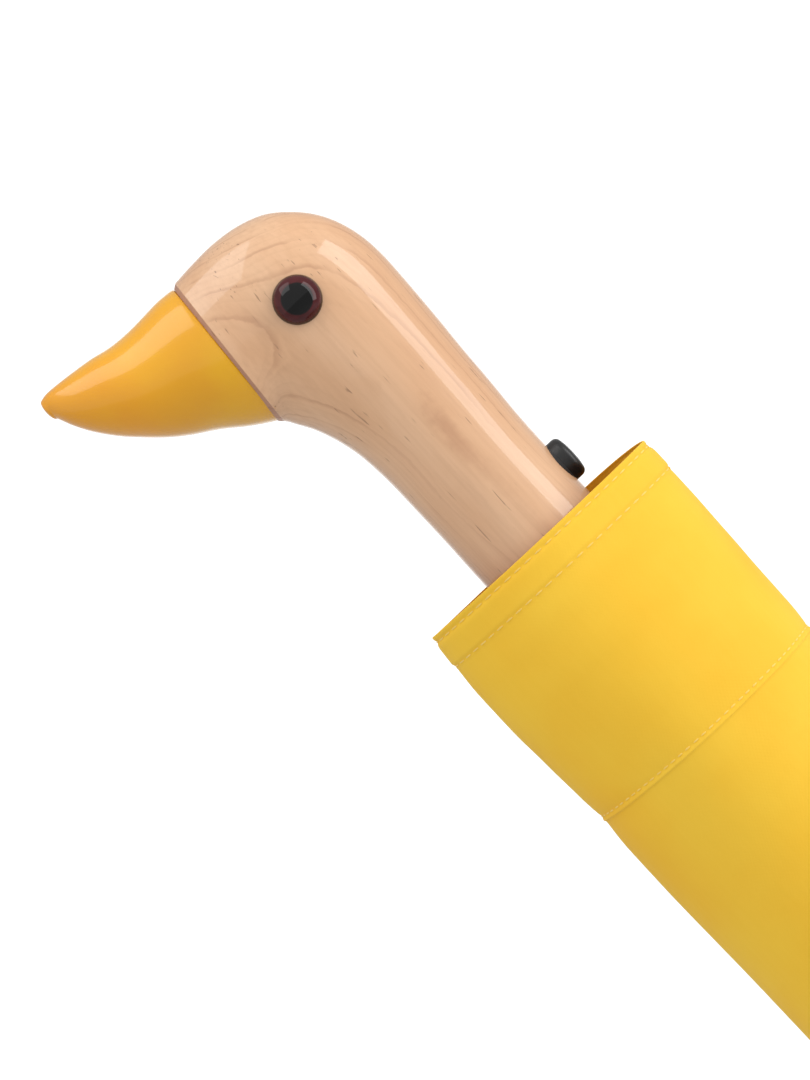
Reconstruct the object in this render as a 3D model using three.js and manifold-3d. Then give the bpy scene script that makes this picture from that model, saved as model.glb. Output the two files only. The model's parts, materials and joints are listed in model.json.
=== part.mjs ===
// Children's folding umbrella with a carved bird-head handle, stored closed in its fabric sleeve.
// Units are millimetres. +Z runs up the shaft to the head, and the bill points along -X.
// The origin is on the shaft's axis, at the middle of the grip.
import * as THREE from "three";
import { ParametricGeometry } from "three/addons/geometries/ParametricGeometry.js";
import { mergeVertices } from "three/addons/utils/BufferGeometryUtils.js";
import Module from "manifold-3d";

const wasm = await Module();
wasm.setup();

// ---- Driving dimensions ----
const CLEARANCE = 0.3; // between pieces that touch
const SLIDE_GAP = 0.3; // between telescoping tubes, on the radius

// The wooden handle
const NECK_R = 16;
const MOUTH_Z = -25; // the sleeve's opening
const NECK_HIDDEN = 42; // length of neck inside the sleeve
const NECK_END_Z = MOUTH_Z - NECK_HIDDEN;
const HEAD_HALF_WIDTH = NECK_R + 0.6;
const BILL_HALF_WIDTH = NECK_R - 0.4;
const TENON_R = 6;
const TENON_LENGTH = 9;
const HEAD_SIDES = 28; // round each section of head and bill
const EYE_R = 5.7;
const EYE_DOME = 4.7;
const EYE_RIM = 0.5; // straight part under the dome
const EYE_STEM_R = 1.6;
const EYE_STEM_LENGTH = 7;
const EYE_X = -3.2;
const EYE_Z = 51;
const EYE_SEAT_DEPTH = 1.4; // how far the eye's seat is let into the head
const EYE_SEAT_Y = HEAD_HALF_WIDTH - EYE_SEAT_DEPTH;

// The release button
const BUTTON_Z = MOUTH_Z + 9;
const BUTTON_R = 5.3;
const BUTTON_HEIGHT = 3;
const BUTTON_TRAVEL = 2.2;
const BUTTON_STEM_R = 2.5;
const BUTTON_ROUND = 1.2; // of its rim
const BUTTON_SPRING_GAP = 0.15; // at each end of its spring

// The telescoping shaft
const TUBE_WALL = 0.5;
const OUTER_TUBE_R = 6;
const MIDDLE_TUBE_R = OUTER_TUBE_R - TUBE_WALL - SLIDE_GAP;
const INNER_TUBE_R = MIDDLE_TUBE_R - TUBE_WALL - SLIDE_GAP;
const TUBE_TOP_Z = 18; // the outer tube's end inside the neck
const SHAFT_BORE_R = OUTER_TUBE_R + CLEARANCE;
const BUTTON_TIP_X = SHAFT_BORE_R + BUTTON_TRAVEL + 0.2;
const PIN_R = 1.2;
const PIN_LENGTH = 25;
const PIN_Z = 12;

// The ribs, folded in three along the shaft
const RIBS = 6;
const RIB_STEP = (2 * Math.PI) / RIBS;
const RIB_INNER = 160; // pivot to pivot
const RIB_MIDDLE = 150;
const RIB_OUTER = 162; // pivot to tip
const STRETCHER = 80; // half of the inner rib, so the runner keeps to the shaft
const TIP_GAP = 5; // from the rib tips to the neck
const CHANNEL_DEPTH = 3;
const LINK_GAP = 1.1; // between the links and the runner's barrel
const RUNNER_WALL = 1.9;
const RUNNER_BORE_R = OUTER_TUBE_R + 0.5;
const BARREL_R = RUNNER_BORE_R + RUNNER_WALL;
const PIVOT_R = BARREL_R + LINK_GAP + CHANNEL_DEPTH / 2; // to every folded pivot
const LINKS_R = PIVOT_R + CHANNEL_DEPTH / 2; // round all the folded links
const CHANNEL_WALL = 0.45;
const EYELET_R = 1.5;
const ROD_R = 0.95;
const TIP_R = 1.25;
const CROWN_Z = NECK_END_Z - TIP_GAP - RIB_INNER + RIB_MIDDLE - RIB_OUTER;
// Each link of a rib swings in its own plane beside the next one: [offset, width].
const PLANES = {
  inner: [0, 2.0],
  middle: [-2.15, 1.7],
  outer: [-4.25, 2 * ROD_R],
  stretcher: [2.1, 1.6],
};

// Crown, cap and runner
const CROWN_R = LINKS_R + 1.5;
const CROWN_THICK = 8;
const CAP_R = CROWN_R - 1;
const CAP_HEIGHT = 15;
const CAP_FLAT_R = 5;
const RUNNER_BELOW = 15;
const RUNNER_ABOVE = 8;
const FLANGE_R = LINKS_R + 0.9;
const FLANGE_THICK = 7;
const SLOT_SIDE = 0.4; // beside a link in its slot

// Folded canopy: three layers of fabric, one for each part of the ribs
const LAYER_IN_R = LINKS_R + 1.7;
const LAYER_THICK = 1.9;
const LAYER_GAP = 0.25;
const LAYER_Z0 = CROWN_Z + 8;
const LAYER_Z1 = CROWN_Z + RIB_INNER + 4;
const GORE_GAP = THREE.MathUtils.degToRad(1.2);
const BUNDLE_R = LAYER_IN_R + 3 * LAYER_THICK + 2 * LAYER_GAP;
const STRAP_THICK = 0.8;
const STRAP_WIDTH = 18;
const STRAP_Z = CROWN_Z + 0.72 * RIB_INNER;

// The sleeve
const SLEEVE_WALL = 0.6;
const SLEEVE_HALF_WIDTH = BUNDLE_R + 12.6;
const SLEEVE_SIDES = 36;
const SEAM_Z = MOUTH_Z - 57.5;
const SLEEVE_END_Z = CROWN_Z - CROWN_THICK / 2 - CAP_HEIGHT - 3.4;
const SLEEVE_SIDE_POWER = 0.72; // below 1 the sides draw in to a crease

// ---- Shared helpers ----
const root = new THREE.Group();
const paint = (color, roughness, metalness = 0) =>
  new THREE.MeshStandardMaterial({ color, roughness, metalness });
const FINISH = {
  wood: paint(0xd9ae82, 0.3),
  bill: paint(0xe9a50c, 0.22),
  eye: paint(0x240b0b, 0.05),
  button: paint(0x141414, 0.35),
  steel: paint(0xb9bcc0, 0.3, 1),
  dark: paint(0x1c1c1e, 0.5),
  fabric: paint(0xf8c02c, 0.75),
};

// A closed geometry as a manifold-3d solid.
function solid(geometry) {
  const bare = geometry.index ? geometry.toNonIndexed() : geometry.clone();
  bare.deleteAttribute("normal");
  bare.deleteAttribute("uv");
  const merged = mergeVertices(bare, 1e-4);
  const index = merged.index.array;
  const kept = [];
  for (let i = 0; i < index.length; i += 3) {
    const [a, b, c] = [index[i], index[i + 1], index[i + 2]];
    if (a !== b && b !== c && a !== c) kept.push(a, b, c);
  }
  return new wasm.Manifold(
    new wasm.Mesh({
      numProp: 3,
      vertProperties: merged.attributes.position.array,
      triVerts: new Uint32Array(kept),
    }),
  );
}

// A manifold-3d solid as a named mesh in the part.
function add(name, made, finish) {
  const mesh = made.getMesh();
  const geometry = new THREE.BufferGeometry()
    .setAttribute(
      "position",
      new THREE.BufferAttribute(new Float32Array(mesh.vertProperties), 3),
    )
    .setIndex(new THREE.BufferAttribute(mesh.triVerts, 1));
  geometry.computeVertexNormals();
  const part = new THREE.Mesh(geometry, FINISH[finish]);
  part.name = name;
  root.add(part);
  return part;
}

// A cylinder along Z from z0 to z1.
function rod(r, z0, z1, sides = 32, x = 0, y = 0) {
  const g = new THREE.CylinderGeometry(r, r, z1 - z0, sides);
  return solid(g.rotateX(Math.PI / 2).translate(x, y, (z0 + z1) / 2));
}

// A cylinder along X from x0 to x1, at height z.
function rodX(r, x0, x1, z, sides = 24) {
  const g = new THREE.CylinderGeometry(r, r, x1 - x0, sides);
  return solid(g.rotateZ(Math.PI / 2).translate((x0 + x1) / 2, 0, z));
}

// A cylinder along Y from y0 to y1.
function rodY(r, y0, y1, x, z, sides = 24) {
  const g = new THREE.CylinderGeometry(r, r, y1 - y0, sides);
  return solid(g.translate(x, (y0 + y1) / 2, z));
}

// A box between two corners.
function block(x0, x1, y0, y1, z0, z1) {
  const g = new THREE.BoxGeometry(x1 - x0, y1 - y0, z1 - z0);
  return solid(g.translate((x0 + x1) / 2, (y0 + y1) / 2, (z0 + z1) / 2));
}

// A profile of [r, z] points turned about Z. It starts and ends on the axis.
function turned(profile, sides = 40) {
  const points = profile.map(([r, z]) => new THREE.Vector2(r, z));
  return solid(new THREE.LatheGeometry(points, sides).rotateX(Math.PI / 2));
}

const tube = (outer, wall, z0, z1) =>
  rod(outer, z0, z1).subtract(rod(outer - wall, z0 - 1, z1 + 1));

// A solid through rings, each a function of the angle that gives a point, closed at both ends.
function loft(rings, sides) {
  const centre = (ring) => {
    const sum = new THREE.Vector3();
    for (let k = 0; k < sides; k++)
      sum.add(ring((2 * Math.PI * k) / sides));
    return sum.divideScalar(sides);
  };
  const rows = rings.length + 1;
  const ends = [centre(rings[0]), centre(rings[rings.length - 1])];
  const surface = (u, v, target) => {
    const row = Math.round(v * rows);
    if (row === 0) return target.copy(ends[0]);
    if (row === rows) return target.copy(ends[1]);
    const turn = u > 0.9999 ? 0 : 2 * Math.PI * u;
    return target.copy(rings[row - 1](turn));
  };
  const made = solid(new ParametricGeometry(surface, sides, rows));
  return made.volume() > 0 ? made : solid(flipped(surface, sides, rows));
}

function flipped(surface, sides, rows) {
  const turnedRound = (u, v, target) => surface(1 - u, v, target);
  return new ParametricGeometry(turnedRound, sides, rows);
}

// ---- The handle ----
// Sections of the carved wood: a point on the back or top of the outline, the point facing it on
// the throat or chin, both as [x, height above the sleeve's mouth], and the half width across.
const HEAD_SECTIONS = [
  [[NECK_R, -NECK_HIDDEN], [-NECK_R, -NECK_HIDDEN], NECK_R],
  [[NECK_R, 0], [-NECK_R, 0], NECK_R],
  [[NECK_R + 0.1, 24], [-NECK_R + 0.2, 24], NECK_R],
  [[NECK_R + 0.9, 38], [-NECK_R - 0.2, 37], NECK_R],
  [[NECK_R + 1.6, 50], [-NECK_R - 1.4, 45.5], NECK_R + 0.2],
  [[NECK_R + 2.2, 60], [-NECK_R - 3, 49.8], NECK_R + 0.4],
  [[NECK_R + 2.6, 69], [-20.6, 53], HEAD_HALF_WIDTH],
  [[NECK_R + 2.1, 77], [-21.6, 54.8], HEAD_HALF_WIDTH],
  [[NECK_R, 84.2], [-22.2, 55.8], HEAD_HALF_WIDTH],
  [[12.2, 90.2], [-22.6, 56.5], HEAD_HALF_WIDTH - 0.1],
  [[6.6, 95.2], [-22.9, 57], HEAD_HALF_WIDTH - 0.2],
  [[-0.5, 98.4], [-23.2, 57.4], HEAD_HALF_WIDTH - 0.4],
  [[-9, 99.4], [-23.4, 57.8], HEAD_HALF_WIDTH - 0.6],
  [[-20.9, 98.9], [-23.6, 58.3], BILL_HALF_WIDTH + 0.4],
];
const BILL_SECTIONS = [
  [[-21.8, 98.4], [-24.4, 59.5], BILL_HALF_WIDTH],
  [[-27, 98], [-31.3, 64], 15.2],
  [[-33, 97.7], [-37.6, 68.6], 14.4],
  [[-39, 97.8], [-43.6, 72.6], 13.4],
  [[-45, 98.5], [-49, 77], 12.1],
  [[-51, 99.5], [-53.7, 82], 10.4],
  [[-56, 100.1], [-57.2, 86.8], 8.3],
  [[-59.3, 100.1], [-59.8, 91.4], 5.8],
  [[-61.2, 99.4], [-61.4, 95.4], 2.9],
];

// An elliptical ring standing on the line between a section's two outline points.
function sectionRing([[bx, bz], [tx, tz], halfWidth]) {
  const back = new THREE.Vector3(bx, 0, bz + MOUTH_Z);
  const throat = new THREE.Vector3(tx, 0, tz + MOUTH_Z);
  const centre = back.clone().add(throat).multiplyScalar(0.5);
  const half = back.clone().sub(throat).multiplyScalar(0.5);
  return (turn) =>
    centre
      .clone()
      .addScaledVector(half, Math.cos(turn))
      .add(new THREE.Vector3(0, halfWidth * Math.sin(turn), 0));
}

const TENON_X = (HEAD_SECTIONS.at(-1)[0][0] + HEAD_SECTIONS.at(-1)[1][0]) / 2;
const TENON_Z = MOUTH_Z + 80;
const FERRULE_WALL = 2;
const FERRULE_LIP = 4; // how far its flange reaches past the spigot
const FERRULE_SPIGOT_R = SHAFT_BORE_R + FERRULE_WALL;
const FERRULE_SPIGOT = 8;
const BUTTON_FLOOR_X = NECK_R - BUTTON_TRAVEL - CLEARANCE;

function eyeSeat(side) {
  const outer = side * (HEAD_HALF_WIDTH + 2);
  const seat = side * EYE_SEAT_Y;
  const foot = side * (EYE_SEAT_Y - EYE_STEM_LENGTH - 0.5);
  const pocket = rodY(EYE_R + CLEARANCE, Math.min(seat, outer), Math.max(seat, outer), EYE_X, EYE_Z, 32);
  const hole = rodY(EYE_STEM_R + CLEARANCE, Math.min(foot, outer), Math.max(foot, outer), EYE_X, EYE_Z, 16);
  return pocket.add(hole);
}

function headAndNeck() {
  return loft(HEAD_SECTIONS.map(sectionRing), HEAD_SIDES)
    .subtract(rod(SHAFT_BORE_R, NECK_END_Z - 1, TUBE_TOP_Z + CLEARANCE))
    .subtract(rod(FERRULE_SPIGOT_R + CLEARANCE, NECK_END_Z - 1, NECK_END_Z + FERRULE_SPIGOT + CLEARANCE))
    .subtract(rodX(BUTTON_R + CLEARANCE, BUTTON_FLOOR_X, NECK_R + 1, BUTTON_Z, 32))
    .subtract(rodX(BUTTON_STEM_R + CLEARANCE, 0, NECK_R, BUTTON_Z))
    .subtract(rodY(PIN_R + CLEARANCE, -PIN_LENGTH / 2 - CLEARANCE, NECK_R + 3, 0, PIN_Z, 16))
    .subtract(rodX(TENON_R + CLEARANCE, TENON_X - 5, TENON_X + TENON_LENGTH + 0.5, TENON_Z, 32))
    .subtract(eyeSeat(1))
    .subtract(eyeSeat(-1));
}

function bill() {
  const tenon = rodX(TENON_R, TENON_X - 4, TENON_X + TENON_LENGTH, TENON_Z, 32);
  return loft(BILL_SECTIONS.map(sectionRing), HEAD_SIDES).add(tenon);
}

// A domed eye on a stem. It is turned about Z and then laid along Y.
function eye(side) {
  const stem = [[0, -EYE_STEM_LENGTH], [EYE_STEM_R, -EYE_STEM_LENGTH], [EYE_STEM_R, 0]];
  const profile = [...stem, [EYE_R, 0], [EYE_R, EYE_RIM]];
  const steps = 5;
  for (let k = 1; k < steps; k++) {
    const a = (Math.PI / 2) * (k / steps);
    profile.push([EYE_R * Math.cos(a), EYE_RIM + EYE_DOME * Math.sin(a)]);
  }
  profile.push([0, EYE_RIM + EYE_DOME]);
  const points = profile.map(([r, h]) => new THREE.Vector2(r, h));
  const lathe = new THREE.LatheGeometry(points, 24);
  if (side < 0) lathe.rotateZ(Math.PI);
  return solid(lathe.translate(EYE_X, side * (EYE_SEAT_Y + CLEARANCE), EYE_Z));
}

function ferrule() {
  const top = NECK_END_Z - CLEARANCE;
  const flange = rod(FERRULE_SPIGOT_R + FERRULE_LIP, top - FERRULE_WALL, top);
  const spigot = rod(FERRULE_SPIGOT_R, NECK_END_Z - 1, NECK_END_Z + FERRULE_SPIGOT);
  const bore = rod(SHAFT_BORE_R, top - 2 * FERRULE_WALL, NECK_END_Z + 2 * FERRULE_SPIGOT);
  return flange.add(spigot).subtract(bore);
}

function releaseButton() {
  const top = NECK_R + BUTTON_HEIGHT;
  const steps = 4;
  const stem = [[0, BUTTON_TIP_X], [BUTTON_STEM_R, BUTTON_TIP_X], [BUTTON_STEM_R, NECK_R]];
  const profile = [...stem, [BUTTON_R, NECK_R]];
  for (let k = 0; k <= steps; k++) {
    const a = (Math.PI / 2) * (k / steps);
    profile.push([
      BUTTON_R - BUTTON_ROUND * (1 - Math.cos(a)),
      top - BUTTON_ROUND * (1 - Math.sin(a)),
    ]);
  }
  profile.push([0, top]);
  const points = profile.map(([r, h]) => new THREE.Vector2(r, h));
  const lathe = new THREE.LatheGeometry(points, 24).rotateZ(-Math.PI / 2);
  return solid(lathe.translate(0, 0, BUTTON_Z));
}

function buttonSpring() {
  const from = BUTTON_FLOOR_X + BUTTON_SPRING_GAP;
  const to = NECK_R - BUTTON_SPRING_GAP;
  return rodX(BUTTON_R - 0.8, from, to, BUTTON_Z).subtract(
    rodX(BUTTON_STEM_R + 0.5, from - 1, to + 1, BUTTON_Z),
  );
}

// ---- The shaft ----
// Folded, the tubes stand one inside the other over the crown.
const OUTER_TUBE_END_Z = CROWN_Z + CROWN_THICK / 2 + 3;
const TUBE_STEP = 0.8; // how far the middle tube reaches below the outer one
const SPRING_GAP = 0.4; // between the main spring and the inner tube
const SPRING_THICK = 0.9;
const CROWN_BACK = 0.8; // from a pivot's eyelet to the slot's bottom in the crown

function outerTube() {
  return tube(OUTER_TUBE_R, TUBE_WALL, OUTER_TUBE_END_Z, TUBE_TOP_Z)
    .subtract(rodY(PIN_R + CLEARANCE, -20, 20, 0, PIN_Z, 16))
    .subtract(rodX(BUTTON_STEM_R + CLEARANCE, OUTER_TUBE_R - 1.5, 10, BUTTON_Z));
}

const middleTube = () =>
  tube(MIDDLE_TUBE_R, TUBE_WALL, OUTER_TUBE_END_Z - TUBE_STEP, PIN_Z - PIN_R - 2);
const innerTube = () =>
  tube(INNER_TUBE_R, TUBE_WALL, CROWN_Z - CROWN_THICK / 2, PIN_Z - PIN_R - 3);
const mainSpring = () =>
  tube(INNER_TUBE_R - TUBE_WALL - SPRING_GAP, SPRING_THICK, CROWN_Z + 2, PIN_Z - PIN_R - CLEARANCE);

// ---- Crown, cap and runner ----
// A cut in a hub from radius r outwards, where the links of one rib lie.
function slot(index, r, t0, t1, z0, z1) {
  const cut = new THREE.BoxGeometry(20, t1 - t0, z1 - z0)
    .translate(r + 10, (t0 + t1) / 2, (z0 + z1) / 2)
    .rotateZ(index * RIB_STEP);
  return solid(cut);
}

function crown() {
  const [z0, z1] = [CROWN_Z - CROWN_THICK / 2, CROWN_Z + CROWN_THICK / 2];
  let made = rod(CROWN_R, z0, z1, 36).subtract(rod(INNER_TUBE_R + CLEARANCE, z0 - 1, z1 + 1));
  const half = PLANES.inner[1] / 2 + SLOT_SIDE;
  for (let i = 0; i < RIBS; i++)
    made = made.subtract(slot(i, PIVOT_R - EYELET_R - CROWN_BACK, -half, half, z0 - 1, z1 + 1));
  return made;
}

function topCap() {
  const z = CROWN_Z - CROWN_THICK / 2 - CLEARANCE;
  const bottom = z - CAP_HEIGHT;
  const stemR = INNER_TUBE_R - TUBE_WALL - CLEARANCE;
  const stem = z + CROWN_THICK / 2;
  const profile = [[0, bottom], [CAP_FLAT_R, bottom]];
  const steps = 5;
  for (let k = 1; k <= steps; k++) {
    const a = (Math.PI / 2) * (k / steps);
    profile.push([
      CAP_FLAT_R + (CAP_R - CAP_FLAT_R) * Math.sin(a),
      bottom + (CAP_HEIGHT - 3) * (1 - Math.cos(a)),
    ]);
  }
  profile.push([CAP_R, z], [stemR, z], [stemR, stem], [0, stem]);
  return turned(profile, 28);
}

const RUNNER_PIVOT_Z = CROWN_Z + 2 * STRETCHER;

function runner() {
  const z = RUNNER_PIVOT_Z;
  const [z0, z1] = [z - FLANGE_THICK / 2, z + FLANGE_THICK / 2];
  const barrel = rod(BARREL_R, z - RUNNER_BELOW, z + RUNNER_ABOVE);
  let flange = rod(FLANGE_R, z0, z1, 36);
  const t0 = PLANES.outer[0] - PLANES.outer[1] / 2 - SLOT_SIDE;
  const t1 = PLANES.stretcher[0] + PLANES.stretcher[1] / 2 + SLOT_SIDE;
  for (let i = 0; i < RIBS; i++)
    flange = flange.subtract(slot(i, BARREL_R, t0, t1, z0 - 1, z1 + 1));
  return barrel.add(flange).subtract(rod(RUNNER_BORE_R, z - RUNNER_BELOW - 1, z + RUNNER_ABOVE + 1));
}

// ---- Ribs ----
// A link is drawn in the plane of rib 0, along Z at x = PIVOT_R, and then turned to its own rib.
function eyelet([offset, width], z) {
  return rodY(EYELET_R, offset - width / 2, offset + width / 2, PIVOT_R, z, 14);
}

// A folded steel channel between two eyelets, open towards the shaft.
function channelLink(plane, z0, z1) {
  const [offset, width] = plane;
  const [y0, y1] = [offset - width / 2, offset + width / 2];
  const [x0, x1] = [PIVOT_R - CHANNEL_DEPTH / 2, PIVOT_R + CHANNEL_DEPTH / 2];
  const inset = 2 * EYELET_R;
  return block(x0, x1, y0, y1, z0 + EYELET_R / 2, z1 - EYELET_R / 2)
    .subtract(block(x0 - 1, x1 - CHANNEL_WALL, y0 + CHANNEL_WALL, y1 - CHANNEL_WALL, z0 + inset, z1 - inset))
    .add(eyelet(plane, z0))
    .add(eyelet(plane, z1));
}

// A round rod with an eyelet at its pivot and a ball tip.
function rodLink(plane, z0, z1) {
  const tip = new THREE.SphereGeometry(TIP_R, 8, 5).translate(PIVOT_R, plane[0], z1 - TIP_R);
  return rod(ROD_R, z0, z1 - TIP_R, 10, PIVOT_R, plane[0]).add(eyelet(plane, z0)).add(solid(tip));
}

const degrees = (radians) => THREE.MathUtils.radToDeg(radians);

function addRib(i) {
  const turn = (made) => made.rotate([0, 0, degrees(i * RIB_STEP)]);
  const inner = [CROWN_Z, CROWN_Z + RIB_INNER];
  const middle = [inner[1] - RIB_MIDDLE, inner[1]];
  const outer = [middle[0], middle[0] + RIB_OUTER];
  const stretcher = [CROWN_Z + STRETCHER, RUNNER_PIVOT_Z];
  const n = i + 1;
  add(`rib_inner_${n}`, turn(channelLink(PLANES.inner, ...inner)), "steel");
  add(`rib_middle_${n}`, turn(channelLink(PLANES.middle, ...middle)), "steel");
  add(`rib_outer_${n}`, turn(rodLink(PLANES.outer, ...outer)), "dark");
  add(`stretcher_${n}`, turn(channelLink(PLANES.stretcher, ...stretcher)), "steel");
}

// ---- Fabric ----
// One layer of one gore, folded between two ribs: a sector of a ring round the ribs.
function foldedGore(layer, i) {
  const r0 = LAYER_IN_R + layer * (LAYER_THICK + LAYER_GAP);
  const r1 = r0 + LAYER_THICK;
  const [a0, a1] = [i * RIB_STEP + GORE_GAP, (i + 1) * RIB_STEP - GORE_GAP];
  const shape = new THREE.Shape();
  shape.absarc(0, 0, r1, a0, a1, false);
  shape.absarc(0, 0, r0, a1, a0, true);
  const g = new THREE.ExtrudeGeometry(shape, {
    depth: LAYER_Z1 - LAYER_Z0,
    bevelEnabled: false,
    curveSegments: 8,
  });
  return solid(g.translate(0, 0, LAYER_Z0));
}

const tieStrap = () =>
  tube(BUNDLE_R + CLEARANCE + STRAP_THICK, STRAP_THICK, STRAP_Z - STRAP_WIDTH / 2, STRAP_Z + STRAP_WIDTH / 2);

// Distance below the mouth, half width over the usual one, and half depth.
const SLEEVE_SECTIONS = [
  [0, -0.2, NECK_R + 3.2],
  [9, 0.5, NECK_R + 4],
  [24, 0.7, NECK_R + 5.8],
  [40, 0.1, BUNDLE_R + 2.8],
  [MOUTH_Z - SEAM_Z, -0.4, BUNDLE_R + 3.2],
  [95, -0.6, BUNDLE_R + 3.3],
  [150, -0.8, BUNDLE_R + 3.3],
  [205, -1.2, BUNDLE_R + 3.2],
  [MOUTH_Z - SLEEVE_END_Z - 10, -1.8, BUNDLE_R + 2.6],
  [MOUTH_Z - SLEEVE_END_Z - 3, -3.6, BUNDLE_R + 0.4],
  [MOUTH_Z - SLEEVE_END_Z, -7, BUNDLE_R - 2.9],
];

function sleeveRing(below, halfWidth, halfDepth) {
  return (turn) => {
    const c = Math.cos(turn);
    const s = Math.sin(turn);
    const side = Math.abs(s) ** (2 * SLEEVE_SIDE_POWER) * Math.sign(s);
    return new THREE.Vector3(halfWidth * c, halfDepth * side, MOUTH_Z - below);
  };
}

// The sleeve's solid form, taken in by a wall, between two heights.
function sleeveForm(inset, top, bottom) {
  const rings = SLEEVE_SECTIONS.map(([d, w, h]) =>
    sleeveRing(d, SLEEVE_HALF_WIDTH + w - inset, h - inset),
  );
  const form = loft(rings, SLEEVE_SIDES);
  return form.intersect(block(-60, 60, -60, 60, bottom, top));
}

function sleeveCuff() {
  const bottom = SEAM_Z + CLEARANCE / 2;
  return sleeveForm(0, MOUTH_Z + 1, bottom).subtract(sleeveForm(SLEEVE_WALL, MOUTH_Z + 1, bottom - 1));
}

function sleeveBody() {
  const top = SEAM_Z - CLEARANCE / 2;
  return sleeveForm(0, top, SLEEVE_END_Z - 1).subtract(
    sleeveForm(SLEEVE_WALL, top + 1, SLEEVE_END_Z + SLEEVE_WALL),
  );
}

// ---- Assembly ----
add("head_and_neck", headAndNeck(), "wood");
add("bill", bill(), "bill");
add("eye_left", eye(-1), "eye");
add("eye_right", eye(1), "eye");
add("neck_ferrule", ferrule(), "dark");
add("neck_pin", rodY(PIN_R, -PIN_LENGTH / 2, PIN_LENGTH / 2, 0, PIN_Z, 16), "steel");
add("release_button", releaseButton(), "button");
add("button_spring", buttonSpring(), "steel");
add("tube_outer", outerTube(), "steel");
add("tube_middle", middleTube(), "steel");
add("tube_inner", innerTube(), "steel");
add("main_spring", mainSpring(), "steel");
add("crown", crown(), "dark");
add("top_cap", topCap(), "dark");
add("runner", runner(), "dark");
for (let i = 0; i < RIBS; i++) addRib(i);
["inner", "middle", "outer"].forEach((part, layer) => {
  for (let i = 0; i < RIBS; i++) add(`gore_${part}_${i + 1}`, foldedGore(layer, i), "fabric");
});
add("tie_strap", tieStrap(), "fabric");
add("sleeve_cuff", sleeveCuff(), "fabric");
add("sleeve_body", sleeveBody(), "fabric");

export default root;
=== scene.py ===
"""A children's folding umbrella with a carved bird-head handle, in its yellow sleeve.

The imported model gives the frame, the shaft, the ribs and every joint. This script makes the carved
and lacquered wood, the painted bill, the glass eyes, the sewn sleeve, the furled canopy, and the
open canopy that unfolds with the ribs. Lengths are metres unless a name ends in _MM.
"""

import json
import math

import bmesh
import bpy
from mathutils import Matrix, Vector
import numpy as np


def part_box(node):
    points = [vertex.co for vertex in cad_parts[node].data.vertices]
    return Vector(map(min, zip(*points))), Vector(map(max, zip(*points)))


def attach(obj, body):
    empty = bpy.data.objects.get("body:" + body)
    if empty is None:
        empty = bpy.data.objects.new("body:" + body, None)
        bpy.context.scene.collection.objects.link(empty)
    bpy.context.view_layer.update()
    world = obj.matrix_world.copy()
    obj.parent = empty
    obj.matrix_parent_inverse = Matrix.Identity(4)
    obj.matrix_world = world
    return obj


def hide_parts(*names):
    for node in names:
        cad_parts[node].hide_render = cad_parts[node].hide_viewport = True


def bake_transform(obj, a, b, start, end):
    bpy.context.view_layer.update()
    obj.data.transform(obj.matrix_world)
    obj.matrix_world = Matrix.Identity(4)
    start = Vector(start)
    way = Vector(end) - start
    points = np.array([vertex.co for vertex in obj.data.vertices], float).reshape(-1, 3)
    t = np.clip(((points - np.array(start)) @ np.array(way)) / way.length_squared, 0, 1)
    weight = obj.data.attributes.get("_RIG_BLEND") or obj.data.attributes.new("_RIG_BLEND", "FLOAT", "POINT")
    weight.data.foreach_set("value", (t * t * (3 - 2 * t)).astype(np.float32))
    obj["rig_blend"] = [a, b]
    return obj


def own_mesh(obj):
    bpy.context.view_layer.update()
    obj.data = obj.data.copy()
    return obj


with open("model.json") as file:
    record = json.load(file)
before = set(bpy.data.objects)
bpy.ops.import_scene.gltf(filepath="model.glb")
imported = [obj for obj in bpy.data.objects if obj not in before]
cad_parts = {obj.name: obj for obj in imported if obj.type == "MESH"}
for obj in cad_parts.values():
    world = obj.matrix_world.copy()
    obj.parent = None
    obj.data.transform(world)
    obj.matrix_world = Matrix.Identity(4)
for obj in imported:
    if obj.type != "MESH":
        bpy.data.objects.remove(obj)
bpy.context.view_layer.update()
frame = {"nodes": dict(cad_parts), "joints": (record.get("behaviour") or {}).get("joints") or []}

MM = 0.001
TURN = 2 * math.pi

# ---- Sizes taken from the frame ----
MOUTH_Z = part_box("sleeve_cuff")[1].z
SEAM_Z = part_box("sleeve_cuff")[0].z
SLEEVE_END_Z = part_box("sleeve_body")[0].z
CROWN_LOW, CROWN_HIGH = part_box("crown")
CROWN_Z = (CROWN_LOW.z + CROWN_HIGH.z) / 2
BUTTON_LOW, BUTTON_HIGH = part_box("release_button")
GORE_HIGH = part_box("gore_outer_2")[1]
STRAP_LOW, STRAP_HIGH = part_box("tie_strap")
JOINTS = {joint["name"]: joint for joint in frame["joints"]}
RIBS = sum(name.startswith("rib_inner_") for name in frame["nodes"])
RIB_STEP = TURN / RIBS


# ---- Meshes ----
def verts_of(items):
    return [item for item in items if isinstance(item, bmesh.types.BMVert)]


def edges_of(items):
    return [item for item in items if isinstance(item, bmesh.types.BMEdge)]


def sharpen(bm, degrees=38):
    """Smooth shading everywhere but on open rims and edges that turn by more than the given angle."""
    for face in bm.faces:
        face.smooth = True
    for edge in bm.edges:
        open_rim = len(edge.link_faces) == 1
        edge.smooth = not open_rim and edge.calc_face_angle(0) <= math.radians(degrees)


def piece(name, bm, materials, recalc=True):
    """A mesh object in place, with its faces pointing out."""
    if recalc:
        bmesh.ops.recalc_face_normals(bm, faces=bm.faces[:])
    sharpen(bm)
    mesh = bpy.data.meshes.new(name)
    bm.to_mesh(mesh)
    bm.free()
    obj = bpy.data.objects.new(name, mesh)
    bpy.context.scene.collection.objects.link(obj)
    for material in materials if isinstance(materials, (list, tuple)) else [materials]:
        mesh.materials.append(material)
    return obj


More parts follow.
